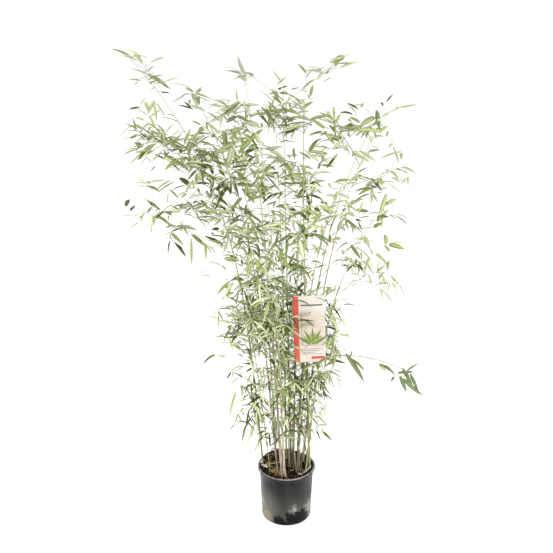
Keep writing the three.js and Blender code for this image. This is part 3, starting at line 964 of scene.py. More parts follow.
def make_canes(look):
    """The canes and the boughs, one piece each, and the thin shoots of each kind."""
    canes, boughs = find_limbs(look.internode)
    finishes = {kind: cane_finish(look, f"cane_{kind}", getattr(look, kind)[:]) for kind in SLOTS}
    for cane in canes:
        body, joint = limb_body(cane, look, CANE_SIDES, CANE_STEP, FOOT_DEPTH)
        kind = cane_kind(cane.name)
        start = BROWN_FROM.get(cane.name, np.inf)
        marks = {"joint": joint, "brown": np.clip((body[0][:, 2] - start) / BROWN_RISE, 0, MOST_BROWN)}
        new_piece(f"{cane.name}_culm", body, [finishes[kind]], [cane.name], marks=marks)
    for bough in boughs:
        body, joint = limb_body(bough, look, BOUGH_SIDES, BOUGH_STEP)
        marks = {"joint": joint, "brown": 0 * joint}
        new_piece(f"{bough.name}_branch", body, [finishes["green"]], [bough.name], marks=marks)
    shoots = find_shoots(canes, look)
    for kind in ("tan", "dark"):
        some = [shoot for shoot in shoots if cane_kind(shoot.name) == kind]
        bodies, joints = zip(*(limb_body(shoot, look, SHOOT_SIDES, SHOOT_STEP) for shoot in some))
        joint = np.concatenate(joints)
        marks = {"joint": joint, "brown": 0 * joint + SHOOT_BROWN}
        new_piece(f"shoots_{kind}", join(bodies), [finishes[kind]], marks=marks)


SHEATH_SEED = 21
SHEATH_ROWS = 9
SHEATH_COLUMNS = 11
SHEATH_LONGEST = 85 * MM
SHEATH_THICKNESS = 0.3 * MM
SHEATH_TOP = 1.35  # highest sheath, above which the canes are bare
LOWEST_SHEATH = 0.34  # the sheaths below this height have rotted away


def make_sheaths(look):
    """
    Papery sheaths that clasp the canes above their joints. Across, a sheath goes most of
    the way round at the cane's radius plus a little; along, it narrows to a point, and its
    top stands off the cane as the square of the height.
    """
    rng = np.random.default_rng(SHEATH_SEED)
    canes, _ = find_limbs(look.internode)
    sheets = []
    for cane in canes:
        heights = np.interp(cane.joints, cane.along, cane.line[:, 2])
        worn = rng.random(len(heights)) > 0.75 - 0.3 * heights / SHEATH_TOP
        keep = (heights > LOWEST_SHEATH) & (heights < SHEATH_TOP) & ~worn
        foot = cane.joints[keep]
        count = len(foot)
        tall = rng.uniform(0.35, 0.8, count) * SHEATH_LONGEST
        v = np.linspace(0, 1, SHEATH_ROWS)
        places = np.minimum(foot[:, None] + tall[:, None] * v, cane.along[-1])
        centre = at_places(cane, cane.line, places.ravel()).reshape(count, SHEATH_ROWS, 3)
        radius = np.interp(places, cane.along, cane.radius) + 0.45 * MM
        radius = radius + rng.uniform(0.5, 3.5, (count, 1)) * MM * v**2
        half = np.radians(165) * (1 - 0.86 * v**1.6)
        turn = rng.uniform(0, 2 * np.pi, (count, 1, 1))
        a = turn + half[:, None] * np.linspace(-1, 1, SHEATH_COLUMNS)
        ring = np.stack([np.cos(a), np.sin(a), np.zeros_like(a)], -1)
        sheets.append(centre[:, :, None, :] + radius[:, :, None, None] * ring)
    body = thick_sheets(np.concatenate(sheets), SHEATH_THICKNESS)
    new_piece("cane_sheaths", body, [sheath_finish(look)])


# ------------------------------------------------------------------ twigs and leaves

BRANCHLET_ROWS = 12
BRANCHLET_SIDES = 5
BRANCHLET_TAPER = (1.6, 0.7)  # at the root and at the tip, as shares of the twig setting
BRANCHLET_SHARE = 0.24  # branchlets for each spray
FIRST_TWIG_ROW = 3  # no twig leaves a branchlet before this row
TWIG_ROWS = 5
TWIG_SIDES = 3
TWIG_TAPER = (0.8, 0.4)
CANE_TWIG = 80 * MM  # mean reach of the twigs straight from the canes, boughs and shoots
BOUGH_TWIG = 35 * MM
SHOOT_TWIG = 30 * MM
# Shares of the leaves' tints at these heights.
TINT_HEIGHTS = (0.5, 0.75, 1.0, 1.25, 1.6, 1.9)
TINT_SHARES = {
    "deep": (0.28, 0.09, 0.36, 0.13, 0.23, 0.09),
    "cool": (0.05, 0.04, 0.03, 0.18, 0.2, 0.13),
    "middle": (0.05, 0.04, 0.02, 0.22, 0.25, 0.28),
    "fresh": (0.08, 0.18, 0.04, 0.15, 0.11, 0.08),
    "lime": (0.49, 0.55, 0.53, 0.17, 0.13, 0.1),
    "grey": (0.05, 0.1, 0.02, 0.15, 0.08, 0.32),
}
TINTS = tuple(TINT_SHARES)
NEIGHBOUR_FADE = 0.12
NEIGHBOUR_REACH = 0.34  # masses further apart than this have nothing between them
NEIGHBOUR_SELF = 0.02  # weight of the mass itself among its neighbours
NEIGHBOUR_STRAY = 15 * MM  # how far the sprays between masses stray at random
MASS_FILL = 1.15  # how far from its middle a mass has sprays, as a share of its solid
BETWEEN_FILL = 0.9  # the same for the places that those between masses start from
LOWEST_BRANCH = 0.42  # no branch leaves a cane below this height
BARE_TIPS = ("cane_left_edge", "bough_top_left")  # limbs whose tips have lost their leaves
# Mean number of twigs straight from a joint, at heights.
CANE_CROWD = ((0.5, 0.62, 1.0, 1.2, 1.7, 1.8), (0, 3.5, 3.5, 1.8, 1.5, 0))
BOUGH_CROWD = ((0.8, 1), (0.9, 0.5))

# Shares of the sprays with one leaf, two, and so on.
LEAF_NUMBERS = (0.12, 0.33, 0.3, 0.17, 0.08)
# How much the sprays hang at these heights. Below 0, they rise.
HANG_HEIGHTS = (0.55, 0.8, 1.0, 1.3, 1.8)
HANGS = (0.45, 0.05, -0.12, 0.15, 0.0)
# The leaves' lengths, widths and most droop, as shares, and how wild they lie, at these heights.
LEAF_HEIGHTS = (0.5, 0.75, 1.1, 1.4)
LEAF_LENGTHS = (0.9, 1.0, 1.1, 1.1)
LEAF_WIDTHS = (0.9, 0.85, 0.9, 1.12)
LEAF_DROOPS = (0.45, 0.8, 0.85, 0.22)
LEAF_WILDNESS = (0.3, 0.45, 0.6, 0.15)  # how far a spray strays from its twig's direction
LEAF_SPREAD = 0.22  # spread of the lengths, as the deviation of their logarithm
LEAF_KEEL = 0.3 * MM  # how far a blade's ridge and keel stand off its midrib
LEAF_ROOM = 6 * MM  # no leaf comes closer to the card
LEAF_OVER = 4 * MM  # how far a leaf's tip may stand out of the frame's box

# Places along a blade where its width is worked out, between its base and its tip.
BLADE_STATIONS = np.array([0.06, 0.22, 0.42, 0.66, 0.87])
WIDEST = 0.42  # the width's formula, which reaches about 0.4, is divided by this


def bezier(a, b, c, d, rows):
    """Cubic curves from a to d that leave towards b and arrive from c, many at once."""
    t = np.linspace(0, 1, rows)[None, :, None]
    a, b, c, d = (p[:, None, :] for p in (a, b, c, d))
    return a * (1 - t) ** 3 + 3 * b * t * (1 - t) ** 2 + 3 * c * t**2 * (1 - t) + d * t**3


def inside(name, count, fill, rng):
    """
    Random places inside a mass: a point of its skin, picked by area, is drawn in towards
    the middle by the cube root of a random share.
    """
    corners = node_triangles(name)
    area = np.linalg.norm(np.cross(corners[:, 1] - corners[:, 0], corners[:, 2] - corners[:, 0]), axis=1)
    middle = (corners.mean(axis=1) * area[:, None]).sum(axis=0) / area.sum()
    if name in HANGING:
        height = corners[..., 2].mean(axis=1)
        area = area * ((height.max() - height) / np.ptp(height)) ** 1.5
    pick = corners[rng.choice(len(corners), count, p=area / area.sum())]
    a, b = rng.random((2, count, 1))
    flip = a + b > 1
    a, b = np.where(flip, 1 - a, a), np.where(flip, 1 - b, b)
    skin = pick[:, 0] + a * (pick[:, 1] - pick[:, 0]) + b * (pick[:, 2] - pick[:, 0])
    return middle + (skin - middle) * fill * rng.random((count, 1)) ** (1 / 3)


def between(name, count, rng):
    """
    Random places between a mass and its neighbours: each lies part of the way from a
    place inside the mass to a place inside a neighbour, and nearer neighbours are picked
    more often, as e to the power of minus the distance over NEIGHBOUR_FADE.
    """
    middles = {other: node_triangles(other).mean(axis=(0, 1)) for other in MASSES}
    away = np.array([np.linalg.norm(middles[other] - middles[name]) for other in MASSES])
    weight = np.where(away < NEIGHBOUR_REACH, np.exp(-away / NEIGHBOUR_FADE), 0)
    weight[np.isin(MASSES, ALONE)] = 0
    weight[away == 0] = NEIGHBOUR_SELF
    picks = rng.choice(len(MASSES), count, p=weight / weight.sum())
    far = np.concatenate([inside(MASSES[pick], 1, BETWEEN_FILL, rng) for pick in picks])
    near = inside(name, count, BETWEEN_FILL, rng)
    place = near + (far - near) * rng.uniform(0.15, 0.6, (count, 1))
    return place + NEIGHBOUR_STRAY * rng.normal(size=near.shape)


def spaced(places, gap):
    """Which places have no earlier one within the gap."""
    apart = np.linalg.norm(places[:, None] - places[None], axis=2)
    return ~np.tril(apart < gap, -1).any(axis=1)


def volume(name):
    """Volume of a CAD node, from its triangles."""
    a, b, c = np.moveaxis(node_triangles(name), 1, 0)
    return abs((a * np.cross(b, c)).sum()) / 6


def branch_roots(limbs):
    """Every joint from which a branch may grow: its place and the limb's direction there."""
    places = np.concatenate([at_places(limb, limb.line, limb.joints) for limb in limbs])
    tangents = np.concatenate([unit(at_places(limb, limb.tangent, limb.joints)) for limb in limbs])
    high = places[:, 2] > LOWEST_BRANCH
    return places[high], tangents[high]


def grow_branchlets(targets, places, tangents, rng):
    """
    One branchlet to each target. Its root is the joint from which the target lies nearest
    to the way that a branch climbs, and it leaves between the limb's direction and the
    outward one, and arrives outward and a little down.
    """
    apart = targets[:, None, :] - places[None, :, :]
    flat = np.linalg.norm(apart[..., :2], axis=-1)
    cost = np.hypot(flat, apart[..., 2] - 0.55 * flat) * rng.uniform(0.8, 1.25, flat.shape)
    best = cost.argmin(axis=1)
    root = places[best]
    reach = np.linalg.norm(targets - root, axis=1, keepdims=True)
    out = (targets - root) * [1, 1, 0]
    out = unit(out + 0.02 * rng.normal(size=out.shape) * [1, 1, 0])
    leave = unit(0.7 * tangents[best] + 0.75 * out)
    arrive = unit(out + rng.uniform(0.0, 0.7, (len(targets), 1)) * DOWN)
    return bezier(root, root + 0.4 * reach * leave, targets - 0.35 * reach * arrive, targets, BRANCHLET_ROWS)


def grow_twigs(targets, branchlets, rng):
    """
    One twig to each target, from the branchlet place that is near and behind it. It leaves
    between the branchlet's direction and its own, and its end hangs a little.
    """
    samples = branchlets[:, FIRST_TWIG_ROW:].reshape(-1, 3)
    forward = unit(np.gradient(branchlets, axis=1))[:, FIRST_TWIG_ROW:].reshape(-1, 3)
    apart = targets[:, None, :] - samples[None, :, :]
    away = np.linalg.norm(apart, axis=-1)
    ahead = np.einsum("tsk,sk->ts", apart, forward) / np.maximum(away, 1e-6)
    best = (away * (1.5 - ahead)).argmin(axis=1)
    root = samples[best]
    reach = np.linalg.norm(targets - root, axis=1, keepdims=True)
    straight = unit(targets - root)
    leave = unit(forward[best] + straight)
    fall = hang_at(targets[:, 2:]) + 0.25 * rng.normal(size=(len(targets), 1))
    arrive = unit(straight + fall * DOWN + 0.3 * rng.normal(size=root.shape))
    return bezier(root, root + 0.4 * reach * leave, targets - 0.3 * reach * arrive, targets, TWIG_ROWS)


def hang_at(height):
    """How much sprays hang at a height: strongly near the ground, hardly at all near the top."""
    return np.interp(height, HANG_HEIGHTS, HANGS)


def spray_leaves(ends, ahead, look, rng, scale=1.0, hanging=1.0):
    """
    The leaves of each spray: one at the twig's end and the rest in turn to its left and
    right, further back and more spread. Each gives a base, a direction, an upward side, a
    length, a width, a hang and its spray's tint.
    """
    count = len(ends)
    height = ends[:, 2:]
    order = np.arange(len(LEAF_NUMBERS))
    number = rng.choice(1 + order, count, p=LEAF_NUMBERS)
    here = order[None, :] < number[:, None]
    wild = np.interp(height, LEAF_HEIGHTS, LEAF_WILDNESS)
    ahead = unit(ahead * [1, 1, 0.55] + wild * rng.normal(size=ahead.shape) / 3**0.5)
    side = unit(np.cross(ahead, UP) + 0.2 * rng.normal(size=ahead.shape))
    hand = np.where(order % 2, 1, -1) * rng.choice([-1, 1], (count, 1))
    opening = np.where(order == 0, 12, 42 + 6 * order)
    spread = np.radians(opening) + np.radians(14) * rng.normal(size=here.shape)
    back = look.spacing * order * rng.uniform(0.7, 1.3, here.shape)
    base = ends[:, None, :] - ahead[:, None, :] * back[..., None]
    swing = (np.sin(spread) * hand)[..., None] * side[:, None, :]
    hang = hanging * hang_at(height) + 0.24 * rng.normal(size=(count, 1)) + 0.2 * rng.normal(size=here.shape)
    direction = unit(np.cos(spread)[..., None] * ahead[:, None, :] + swing + hang[..., None] * DOWN)
    top = unit(UP + 0.55 * rng.normal(size=direction.shape))
    mean = scale * look.leaf * np.interp(height, LEAF_HEIGHTS, LEAF_LENGTHS)
    long = mean * rng.lognormal(0, LEAF_SPREAD, here.shape) * rng.uniform(0.85, 1.15, (count, 1))
    stout = look.blade * scale**0.8 * np.interp(height, LEAF_HEIGHTS, LEAF_WIDTHS)
    wide = long**0.75 * mean**0.25 * stout * rng.uniform(0.8, 1.15, here.shape)
    droop = hanging * rng.uniform(0.0, np.interp(height, LEAF_HEIGHTS, LEAF_DROOPS), here.shape)
    shares = np.stack([np.interp(height[:, 0], TINT_HEIGHTS, some) for some in TINT_SHARES.values()], axis=1)
    limits = np.cumsum(shares, axis=1)
    tint = (rng.random((count, 1)) > limits[:, :-1]).sum(axis=1, keepdims=True)
    fields = (base, direction, top, long, wide, droop, tint + 0 * order)
    return [field[here] for field in fields]


def midribs(base, direction, long, droop, s):
    """Blades' midribs at the shares s of their length: base + long * (s * direction + droop * s^2 * down)."""
    s = s[None, :, None]
    sag = droop[:, None, None] * s**2 * DOWN
    return base[:, None] + long[:, None, None] * (s * direction[:, None] + sag)


def blade_bodies(base, direction, top, long, wide, droop, fold, thick):
    """
    Thin closed blades, many at once. The half width grows as s^0.55 and falls as
    (1 - s)^0.8, the two margins stand above the midrib by the fold, and a low ridge and a
    keel stand off it by thick.
    """
    count = len(base)
    s = np.concatenate(([0], BLADE_STATIONS, [1]))
    midrib = midribs(base, direction, long, droop, s)
    ahead = unit(np.gradient(midrib, axis=1))
    side = unit(np.cross(ahead, top[:, None]))
    face = np.cross(side, ahead)
    shape = s**0.55 * (1 - s) ** 0.8
    half = wide[:, None, None] / 2 * shape[None, :, None] / WIDEST
    inner = slice(1, -1)
    m, h, n, w = midrib[:, inner], half[:, inner], face[:, inner], side[:, inner]
    left = m - h * w + fold * h * n
    right = m + h * w + fold * h * n
    ridge = m + thick * n
    keel = m - thick * n
    ring = np.stack([right, ridge, left, keel], axis=2).reshape(count, -1, 3)
    points = np.concatenate([ring, midrib[:, :1], midrib[:, -1:]], axis=1)
    faces = pole_faces(len(BLADE_STATIONS), 4)
    body = points.reshape(-1, 3), [copies(face, points.shape[1], count) for face in faces]
    under = np.concatenate([np.tile([False, False, True, True], count * len(face) // 4) for face in faces])
    return body, under


def clear_of_label(leaves):
    """Which leaves don't cut through the label's card."""
    base, direction, _, long, _, droop, _ = leaves
    midrib = midribs(base, direction, long, droop, np.linspace(0, 1, 7))
    return ~in_box(midrib, node_box("label_card"), LEAF_ROOM).any(axis=1)


def in_bounds(leaves):
    """Which leaves have their tips in the frame's box, or hardly out of it."""
    base, direction, _, long, _, droop, _ = leaves
    tip = base + long[:, None] * (direction + droop[:, None] * DOWN)
    return in_box(tip, BOX, LEAF_OVER)


def limb_sprays(limbs, crowd, reach, rng):
    """
    Short twigs straight from the limbs' joints, as many as crowd says at their height, and
    one on each tip that isn't bare.
    """
    roots = []
    ends = []
    for limb in limbs:
        heights = np.interp(limb.joints, limb.along, limb.line[:, 2])
        places = np.repeat(limb.joints, rng.poisson(np.interp(heights, *crowd)))
        root = at_places(limb, limb.line, places)
        ahead = unit(at_places(limb, limb.tangent, places))
        turn = rng.uniform(0, 2 * np.pi, (len(places), 1))
        out = np.concatenate([np.cos(turn), np.sin(turn), 0 * turn], axis=1)
        far = rng.uniform(0.4, 1.6, (len(places), 1)) * reach
        roots.append(root)
        ends.append(root + far * unit(0.7 * ahead + out))
        if limb.name not in BARE_TIPS:
            roots.append(limb.line[-2:-1])
            ends.append(limb.line[-1:] + 10 * MM * limb.tangent[-1:])
    root = np.concatenate(roots)
    end = np.concatenate(ends)
    lift = np.linalg.norm(end - root, axis=1, keepdims=True) * UP
    return bezier(root, root + 0.3 * (end - root) + 0.12 * lift, end - 0.3 * (end - root), end, TWIG_ROWS)


# Ends of the twigs that reach round the card: across and up in its half sizes, and millimetres
# in front of it.
CARD_ENDS = (
    (-0.8, 0.3, 14),
    (-0.55, 0.12, 18),
    (0.45, 0.1, 16),
    (0.8, -0.2, 14),
    (1.05, 0.3, 12),
    (1.15, -0.4, 10),
    (0.9, -0.85, 16),
    (0.5, -1.02, 12),
    (1.1, 0.85, 14),
    (-1.1, -0.5, 12),
    (-1.05, 0.85, 12),
    (-0.95, 0.42, 13),
    (-0.8, 0.08, 15),
    (-1.0, 0.05, 12),
    (-0.6, 0.35, 17),
)
CARD_BELOW = 60 * MM  # they start at the joint nearest to a place this far below their pass
CARD_LEAF_SCALE = 1.1


def card_twigs(places):
    """Twigs that pass beside the card and end in front of it."""
    card = card_frame()
    across, up, ahead = np.array(CARD_ENDS).T[..., None]
    forward = np.array([0, -1, 0])
    level = card.middle + up * card.half_height * card.up
    ends = level + across * card.half_width * card.right + ahead * MM * forward
    beside = level + 1.3 * np.sign(across) * card.half_width * card.right
    nearest = np.linalg.norm(beside[:, None] + CARD_BELOW * DOWN - places[None], axis=2).argmin(axis=1)
    return bezier(places[nearest], beside, beside + ahead * MM * forward, ends, TWIG_ROWS)


def lone_twigs(bough):
    """Short twigs that hang from the lone bough."""
    places = np.array(LONE_PLACES) * bough.along[-1]
    root = at_places(bough, bough.line, places)
    fall = LONE_FALL * unit(at_places(bough, bough.tangent, places) + DOWN)
    return bezier(root, root + fall, root + 2 * fall, root + 3 * fall, TWIG_ROWS)


def twig_leaves(twigs, look, rng, scale=1.0, bearing=None):
    """The leaves of the sprays at the twigs' ends. A bearing is the way they turn, and their tint."""
    ahead = unit(twigs[:, -1] - twigs[:, -2])
    if bearing is None:
        return spray_leaves(twigs[:, -1], ahead, look, rng, scale)
    way, tint = bearing
    leaves = spray_leaves(twigs[:, -1], unit(0.35 * ahead + way), look, rng, scale, 0.2)
    leaves[-1][:] = TINTS.index(tint)
    return leaves


def mass_sprays(name, look, rng):
    """Places of the sprays of one mass, and of those between it and its neighbours."""
    cover = COVER.get(name, 1)
    sprays = max(1, round(look.sprays * cover * volume(name) ** (2 / 3)))
    wanted = inside(name, sprays, MASS_FILL, rng)
    if name not in ALONE:
        wanted = np.concatenate([wanted, between(name, round(look.between * sprays), rng)])
    wanted = wanted[spaced(wanted, look.gap / cover**0.5)]
    across, up, reach, stays = np.array(OPENER).T
    near = np.hypot(wanted[:, :1] - across, wanted[:, 2:] - up) < reach
    return wanted[rng.random(len(wanted)) < np.where(near, stays, 1).prod(axis=1)]


def fuller_sprays(rng):
    """Places of the sprays that make the crown fuller, from its front to its back."""
    wanted = []
    for across, up, spread, count in FULLER:
        ahead = rng.uniform(-0.15, 0.12, count)
        middle = np.stack([np.full(count, across), ahead, np.full(count, up)], -1)
        wanted.append(middle + spread * rng.normal(size=middle.shape) * [1, 0, 1])
    return np.concatenate(wanted)


def grow_sprays(wanted, places, tangents, look, rng, name):
    """The branchlets, twigs and leaves that end at the wanted places."""
    some = rng.permutation(len(wanted))[: max(2, round(BRANCHLET_SHARE * len(wanted)))]
    branchlets = grow_branchlets(wanted[some], places, tangents, rng)
    twigs = grow_twigs(wanted, branchlets, rng)
    leaves = twig_leaves(twigs, look, rng, LEAF_SCALE.get(name, 1.0), BEARINGS.get(name))
    return branchlets, twigs, leaves


def grow_crown(look):
    """All branchlets, twigs and leaves: mass by mass, then along the limbs and round the card."""
    stems = bpy.context.scene.bamboo_canes
    canes, boughs = find_limbs(stems.internode)
    shoots = find_shoots(canes, stems)
    lone = [bough for bough in boughs if bough.name == LONE_BOUGH]
    others = [bough for bough in boughs if bough.name != LONE_BOUGH]
    roots = branch_roots(canes + others)
    grown = []
    for index, name in enumerate((*MASSES, None)):
        rng = np.random.default_rng((look.seed, index))
        wanted = fuller_sprays(rng) if name is None else mass_sprays(name, look, rng)
        joints = branch_roots(lone) if name == LONE_TIP else roots
        grown.append(grow_sprays(wanted, *joints, look, rng, name))
    branchlets, twigs, leaves = (list(some) for some in zip(*grown))
    rng = np.random.default_rng(look.seed)
    short = [
        (limb_sprays(canes, CANE_CROWD, CANE_TWIG, rng),),
        (limb_sprays(others, BOUGH_CROWD, BOUGH_TWIG, rng),),
        (limb_sprays(shoots, SHOOT_CROWD, SHOOT_TWIG, rng),),
    ]
    short.append((card_twigs(roots[0]), CARD_LEAF_SCALE))
    short.append((lone_twigs(*lone), LEAF_SCALE[LONE_TIP], BEARINGS[LONE_TIP]))
    for some, *scale_and_bearing in short:
        twigs.append(some)
        leaves.append(twig_leaves(some, look, rng, *scale_and_bearing))
    leaves = [np.concatenate(fields) for fields in zip(*leaves)]
    keep = clear_of_label(leaves) & in_bounds(leaves)
    return np.concatenate(branchlets), np.concatenate(twigs), [field[keep] for field in leaves]


def make_foliage(look):
    """The branchlets and the twigs, and one piece of leaves for each tint."""
    branchlets, twigs, leaves = grow_crown(look)
    bark = Finish("twig_bark", look.stem, Roughness=0.6).material
    for name, stems, sides, taper in (
        ("branchlets", branchlets, BRANCHLET_SIDES, BRANCHLET_TAPER),
        ("twigs", twigs, TWIG_SIDES, TWIG_TAPER),
    ):
        radii = np.linspace(*taper, stems.shape[1]) * look.twig * np.ones((len(stems), 1))
        new_piece(name, tubes(stems, radii, sides), [bark])
    under = leaf_finish("leaf_underside", look.under)
    for index, tint in enumerate(TINTS):
        some = [field[leaves[-1] == index] for field in leaves[:-1]]
        body, below = blade_bodies(*some, look.fold, LEAF_KEEL)
        finishes = [leaf_finish(f"leaf_{tint}", getattr(look, tint)), under]
        replaced = MASSES[index :: len(TINTS)]
        new_piece(f"leaves_{tint}", body, finishes, replaced, face_finish=below)


# ------------------------------------------------------------------ pot and soil

POT_TURNS = 128
FOOT_ROUND = 9 * MM  # radius of the rounded edge of the foot
FLOOR = 3 * MM  # height of the pot's floor inside
HOLLOW = 4 * MM  # how far the underside is hollow
STEP_ROUND = 1.2 * MM  # radius of the step out to the rim band


def arc(centre, radius, start, end, steps):
    """Points on an arc in the profile plane, angles in degrees."""
    a = np.radians(np.linspace(start, end, steps))
    return np.stack([centre[0] + radius * np.cos(a), centre[1] + radius * np.sin(a)], axis=1)


def make_pot(look):
    """
    The pot's wall as one closed turned profile: flat foot, round edge, tapering wall, a
    step out to the rim band, a rounded lip, and the inside back to the floor. The wall is
    a little out of round by two slow waves.
    """
    points = node_points("pot")
    reach = np.hypot(points[:, 0], points[:, 1])
    top = points[:, 2].max()
    rim = reach.max()
    heights = np.unique(points[:, 2].round(4))
    band = heights[heights > 0.9 * top].min()
    shoulder = reach[(abs(points[:, 2] - band) < MM) & (reach < 0.96 * rim)].max()
    foot = reach[points[:, 2] < 10 * MM].max()
    lip = look.rim_bead
    wall = look.wall
    profile = np.concatenate(
        [
            [[0, HOLLOW], [0.72 * foot, HOLLOW], [0.76 * foot, 0.0]],
            arc((foot - FOOT_ROUND, FOOT_ROUND), FOOT_ROUND, -90, 0, 8),
            [[foot + part * (shoulder - foot), part * band] for part in (0.3, 0.62)],
            [[shoulder, band - 1.5 * MM]],
            arc((rim - STEP_ROUND, band + STEP_ROUND), STEP_ROUND, -90, 0, 4),
            arc((rim - lip, top - lip), lip, 0, 90, 5),
            arc((shoulder + lip, top - lip), lip, 90, 180, 5),
            [[shoulder - wall, band], [foot - wall, FLOOR + 6 * MM]],
            [[foot - wall - 6 * MM, FLOOR], [0, FLOOR + 2 * MM]],
        ]
    )
    body, faces = turned(profile[:, 0], profile[:, 1], POT_TURNS)
    a = np.arctan2(body[:, 1], body[:, 0])
    share_up = body[:, 2] / top
    wobble = look.wobble * share_up * (np.sin(2 * a + 0.7) + 0.6 * np.sin(5 * a + 2.1))
    radius = np.hypot(body[:, 0], body[:, 1])
    scale = 1 + wobble / np.maximum(radius, MM) * (radius > 0.5 * foot)
    body[:, :2] *= scale[:, None]
    new_piece("pot_wall", (body, faces), [pot_finish(look)], ["pot"])


SOIL_RINGS = 30
SOIL_TURNS = 96
SOIL_SIDE = 30 * MM  # depth of the compost's upright edge
SOIL_FALL = 4 * MM  # how far the compost falls away at the wall
EDGE_ROOM = 9 * MM  # the litter keeps this far from the edge of the compost


def soil_height(x, y, relief):
    """
    Height of the compost over its mean level: three crossing waves of falling length, on a
    bank that rises to the back.
    """
    slow = np.sin(31 * x + 1.3) * np.cos(27 * y - 0.4)
    middle = np.sin(83 * x - 61 * y + 2.0)
    quick = np.sin(190 * x + 0.5) * np.sin(170 * y + 1.1)
    bank = np.clip((y - 0.6 * x + 20 * MM) / (120 * MM), 0, 1) ** 2
    return relief * (0.5 * slow + 0.3 * middle + 0.25 * quick + 5.5 * bank)


def make_soil(look):
    """
    The compost as a closed disc over a flat bottom: the height of its rings is soil_height,
    less a fall at the wall as the eighth power of the share of the radius.
    """
    low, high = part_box("soil")
    edge = high.x
    foot = 0.9 * edge
    radius = np.concatenate([[0, foot, foot], np.linspace(0, edge, SOIL_RINGS)[:0:-1], [0]])
    height = np.full(len(radius), high.z)
    height[:2] = low.z
    height[2] = high.z - SOIL_SIDE
    body, faces = turned(radius, height, SOIL_TURNS)
    upper = body[:, 2] > high.z - MM
    rise = soil_height(body[:, 0], body[:, 1], look.relief)
    fall = SOIL_FALL * (np.hypot(body[:, 0], body[:, 1]) / edge) ** 8
    body[:, 2] += np.where(upper, rise - fall, 0)
    new_piece("compost", (body, faces), [compost_finish(look)], ["soil"])


def scatter(count, edge, rng):
    """Random places on the compost, even by area."""
    a = rng.uniform(0, 2 * np.pi, count)
    r = edge * np.sqrt(rng.random(count))
    return r * np.cos(a), r * np.sin(a)


# The drift of litter at the left of the front and the heap of chips at the left of the back:
# the middle and the spread, in millimetres.
DRIFT = (-42, -54), 18
DRIFTED = 0.72  # share of the litter that lies in the drift
HEAP = (-56, 66), 30


def gathered(place, count, rng):
    """Random places about a middle, denser towards it."""
    middle, spread = place
    return rng.normal(size=(2, count)) * spread * MM + np.array(middle)[:, None] * MM


def drift(count, edge, rng):
    """Random places, most of them in the drift."""
    x, y = scatter(count, edge, rng)
    drifted = rng.random(count) < DRIFTED
    x, y = np.where(drifted, gathered(DRIFT, count, rng), (x, y))
    inward = np.minimum(1, edge / np.hypot(x, y))
    return x * inward, y * inward


LUMP_ROWS = 5
LUMP_TURNS = 6
LUMP_FLAT = np.array([1, 1, 0.35])


def lumps(centre, size, rng):
    """
    Angular lumps, many at once: a ball's rings, each point pushed in or out at random,
    stretched to the three sizes, turned any way and pressed flat.
    """
    count = len(centre)
    v = np.pi * (np.arange(LUMP_ROWS)[:, None] + 1) / (LUMP_ROWS + 1)
    a = 2 * np.pi * np.arange(LUMP_TURNS) / LUMP_TURNS
    rings_of = np.stack([np.sin(v) * np.cos(a), np.sin(v) * np.sin(a), -np.cos(v) * np.ones(LUMP_TURNS)], -1)
    ball = np.vstack([rings_of.reshape(-1, 3), [0, 0, -1], [0, 0, 1]])
    shape = ball[None] * rng.uniform(0.75, 1.15, (count, len(ball), 1)) * size[:, None, :]
    turn = np.linalg.qr(rng.normal(size=(count, 3, 3)))[0]
    turn *= np.linalg.det(turn)[:, None, None]
    points = centre[:, None] + np.einsum("cij,cpj->cpi", turn, shape) * LUMP_FLAT
    faces = pole_faces(LUMP_ROWS, LUMP_TURNS)
    return points.reshape(-1, 3), [copies(face, len(ball), count) for face in faces]


# Bleached scraps of sheath: the place, length and width of each, in millimetres.
SCRAPS = (
    (-106, -10, 40, 13),
    (-97, -24, 34, 11),
    (-111, 8, 26, 7),
    (108, -16, 26, 3),
    (101, -32, 20, 2),
    (92, -50, 22, 1.3),
    (74, -69, 22, 1),
    (60, -77, 18, 0.9),
    (82, -60, 20, 1),
    (-64, 94, 22, 8),
    (-46, 104, 20, 7),
    (-24, 111, 18, 6),
    (58, 80, 22, 5),
)
SCRAP_THICKNESS = 0.4 * MM
# Chips: their name, tint, share of the chips strewn evenly and in the heap, and mean half
# sizes in millimetres.
CHIPS = (
    ("bark_chips", "chip", 1, 0, (7.5, 4.2, 2.7)),
    ("brown_chips", "rust", 0.22, 0.35, (6.5, 3.5, 2)),
    ("light_chips", "split", 0.06, 0.15, (5.5, 3, 1.7)),
)
DRY_FOLD = 0.5  # how far a dry blade is folded, as a share of its half width
DRY_KEEL = 0.25 * MM
STEM_ROWS = 7
STEM_SIDES = 5
STICK_BENDS = np.array([[-101, -17], [-80, -4], [-52, 2], [-27, 10]]) * MM
STICK_TAPER = (2.6, 1.7)  # radii of the stick's ends, in millimetres
STICK_ROWS = 12
STICK_SIDES = 9


def on_soil(look, x, y, above):
    """Places at a height above the compost."""
    return np.stack([x, y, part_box("soil")[1].z + soil_height(x, y, look.relief) + above], -1)


def strew_chips(look, edge, rng):
    """The three kinds of bark chips."""
    for name, tint, even, heaped, mean in CHIPS:
        x, y = scatter(round(look.chips * even), edge, rng)
        heap = gathered(HEAP, round(look.chips * heaped), rng)
        x, y = np.hstack([(x, y), heap[:, np.hypot(*heap) < edge]])
        size = np.array(mean) * MM * rng.uniform(0.5, 1.5, (len(x), 3))
        chips = lumps(on_soil(look, x, y, 2 * MM), size, rng)
        finish = chip_finish(name, getattr(look, tint)[:])
        new_piece(name, chips, [finish], smooth=False)


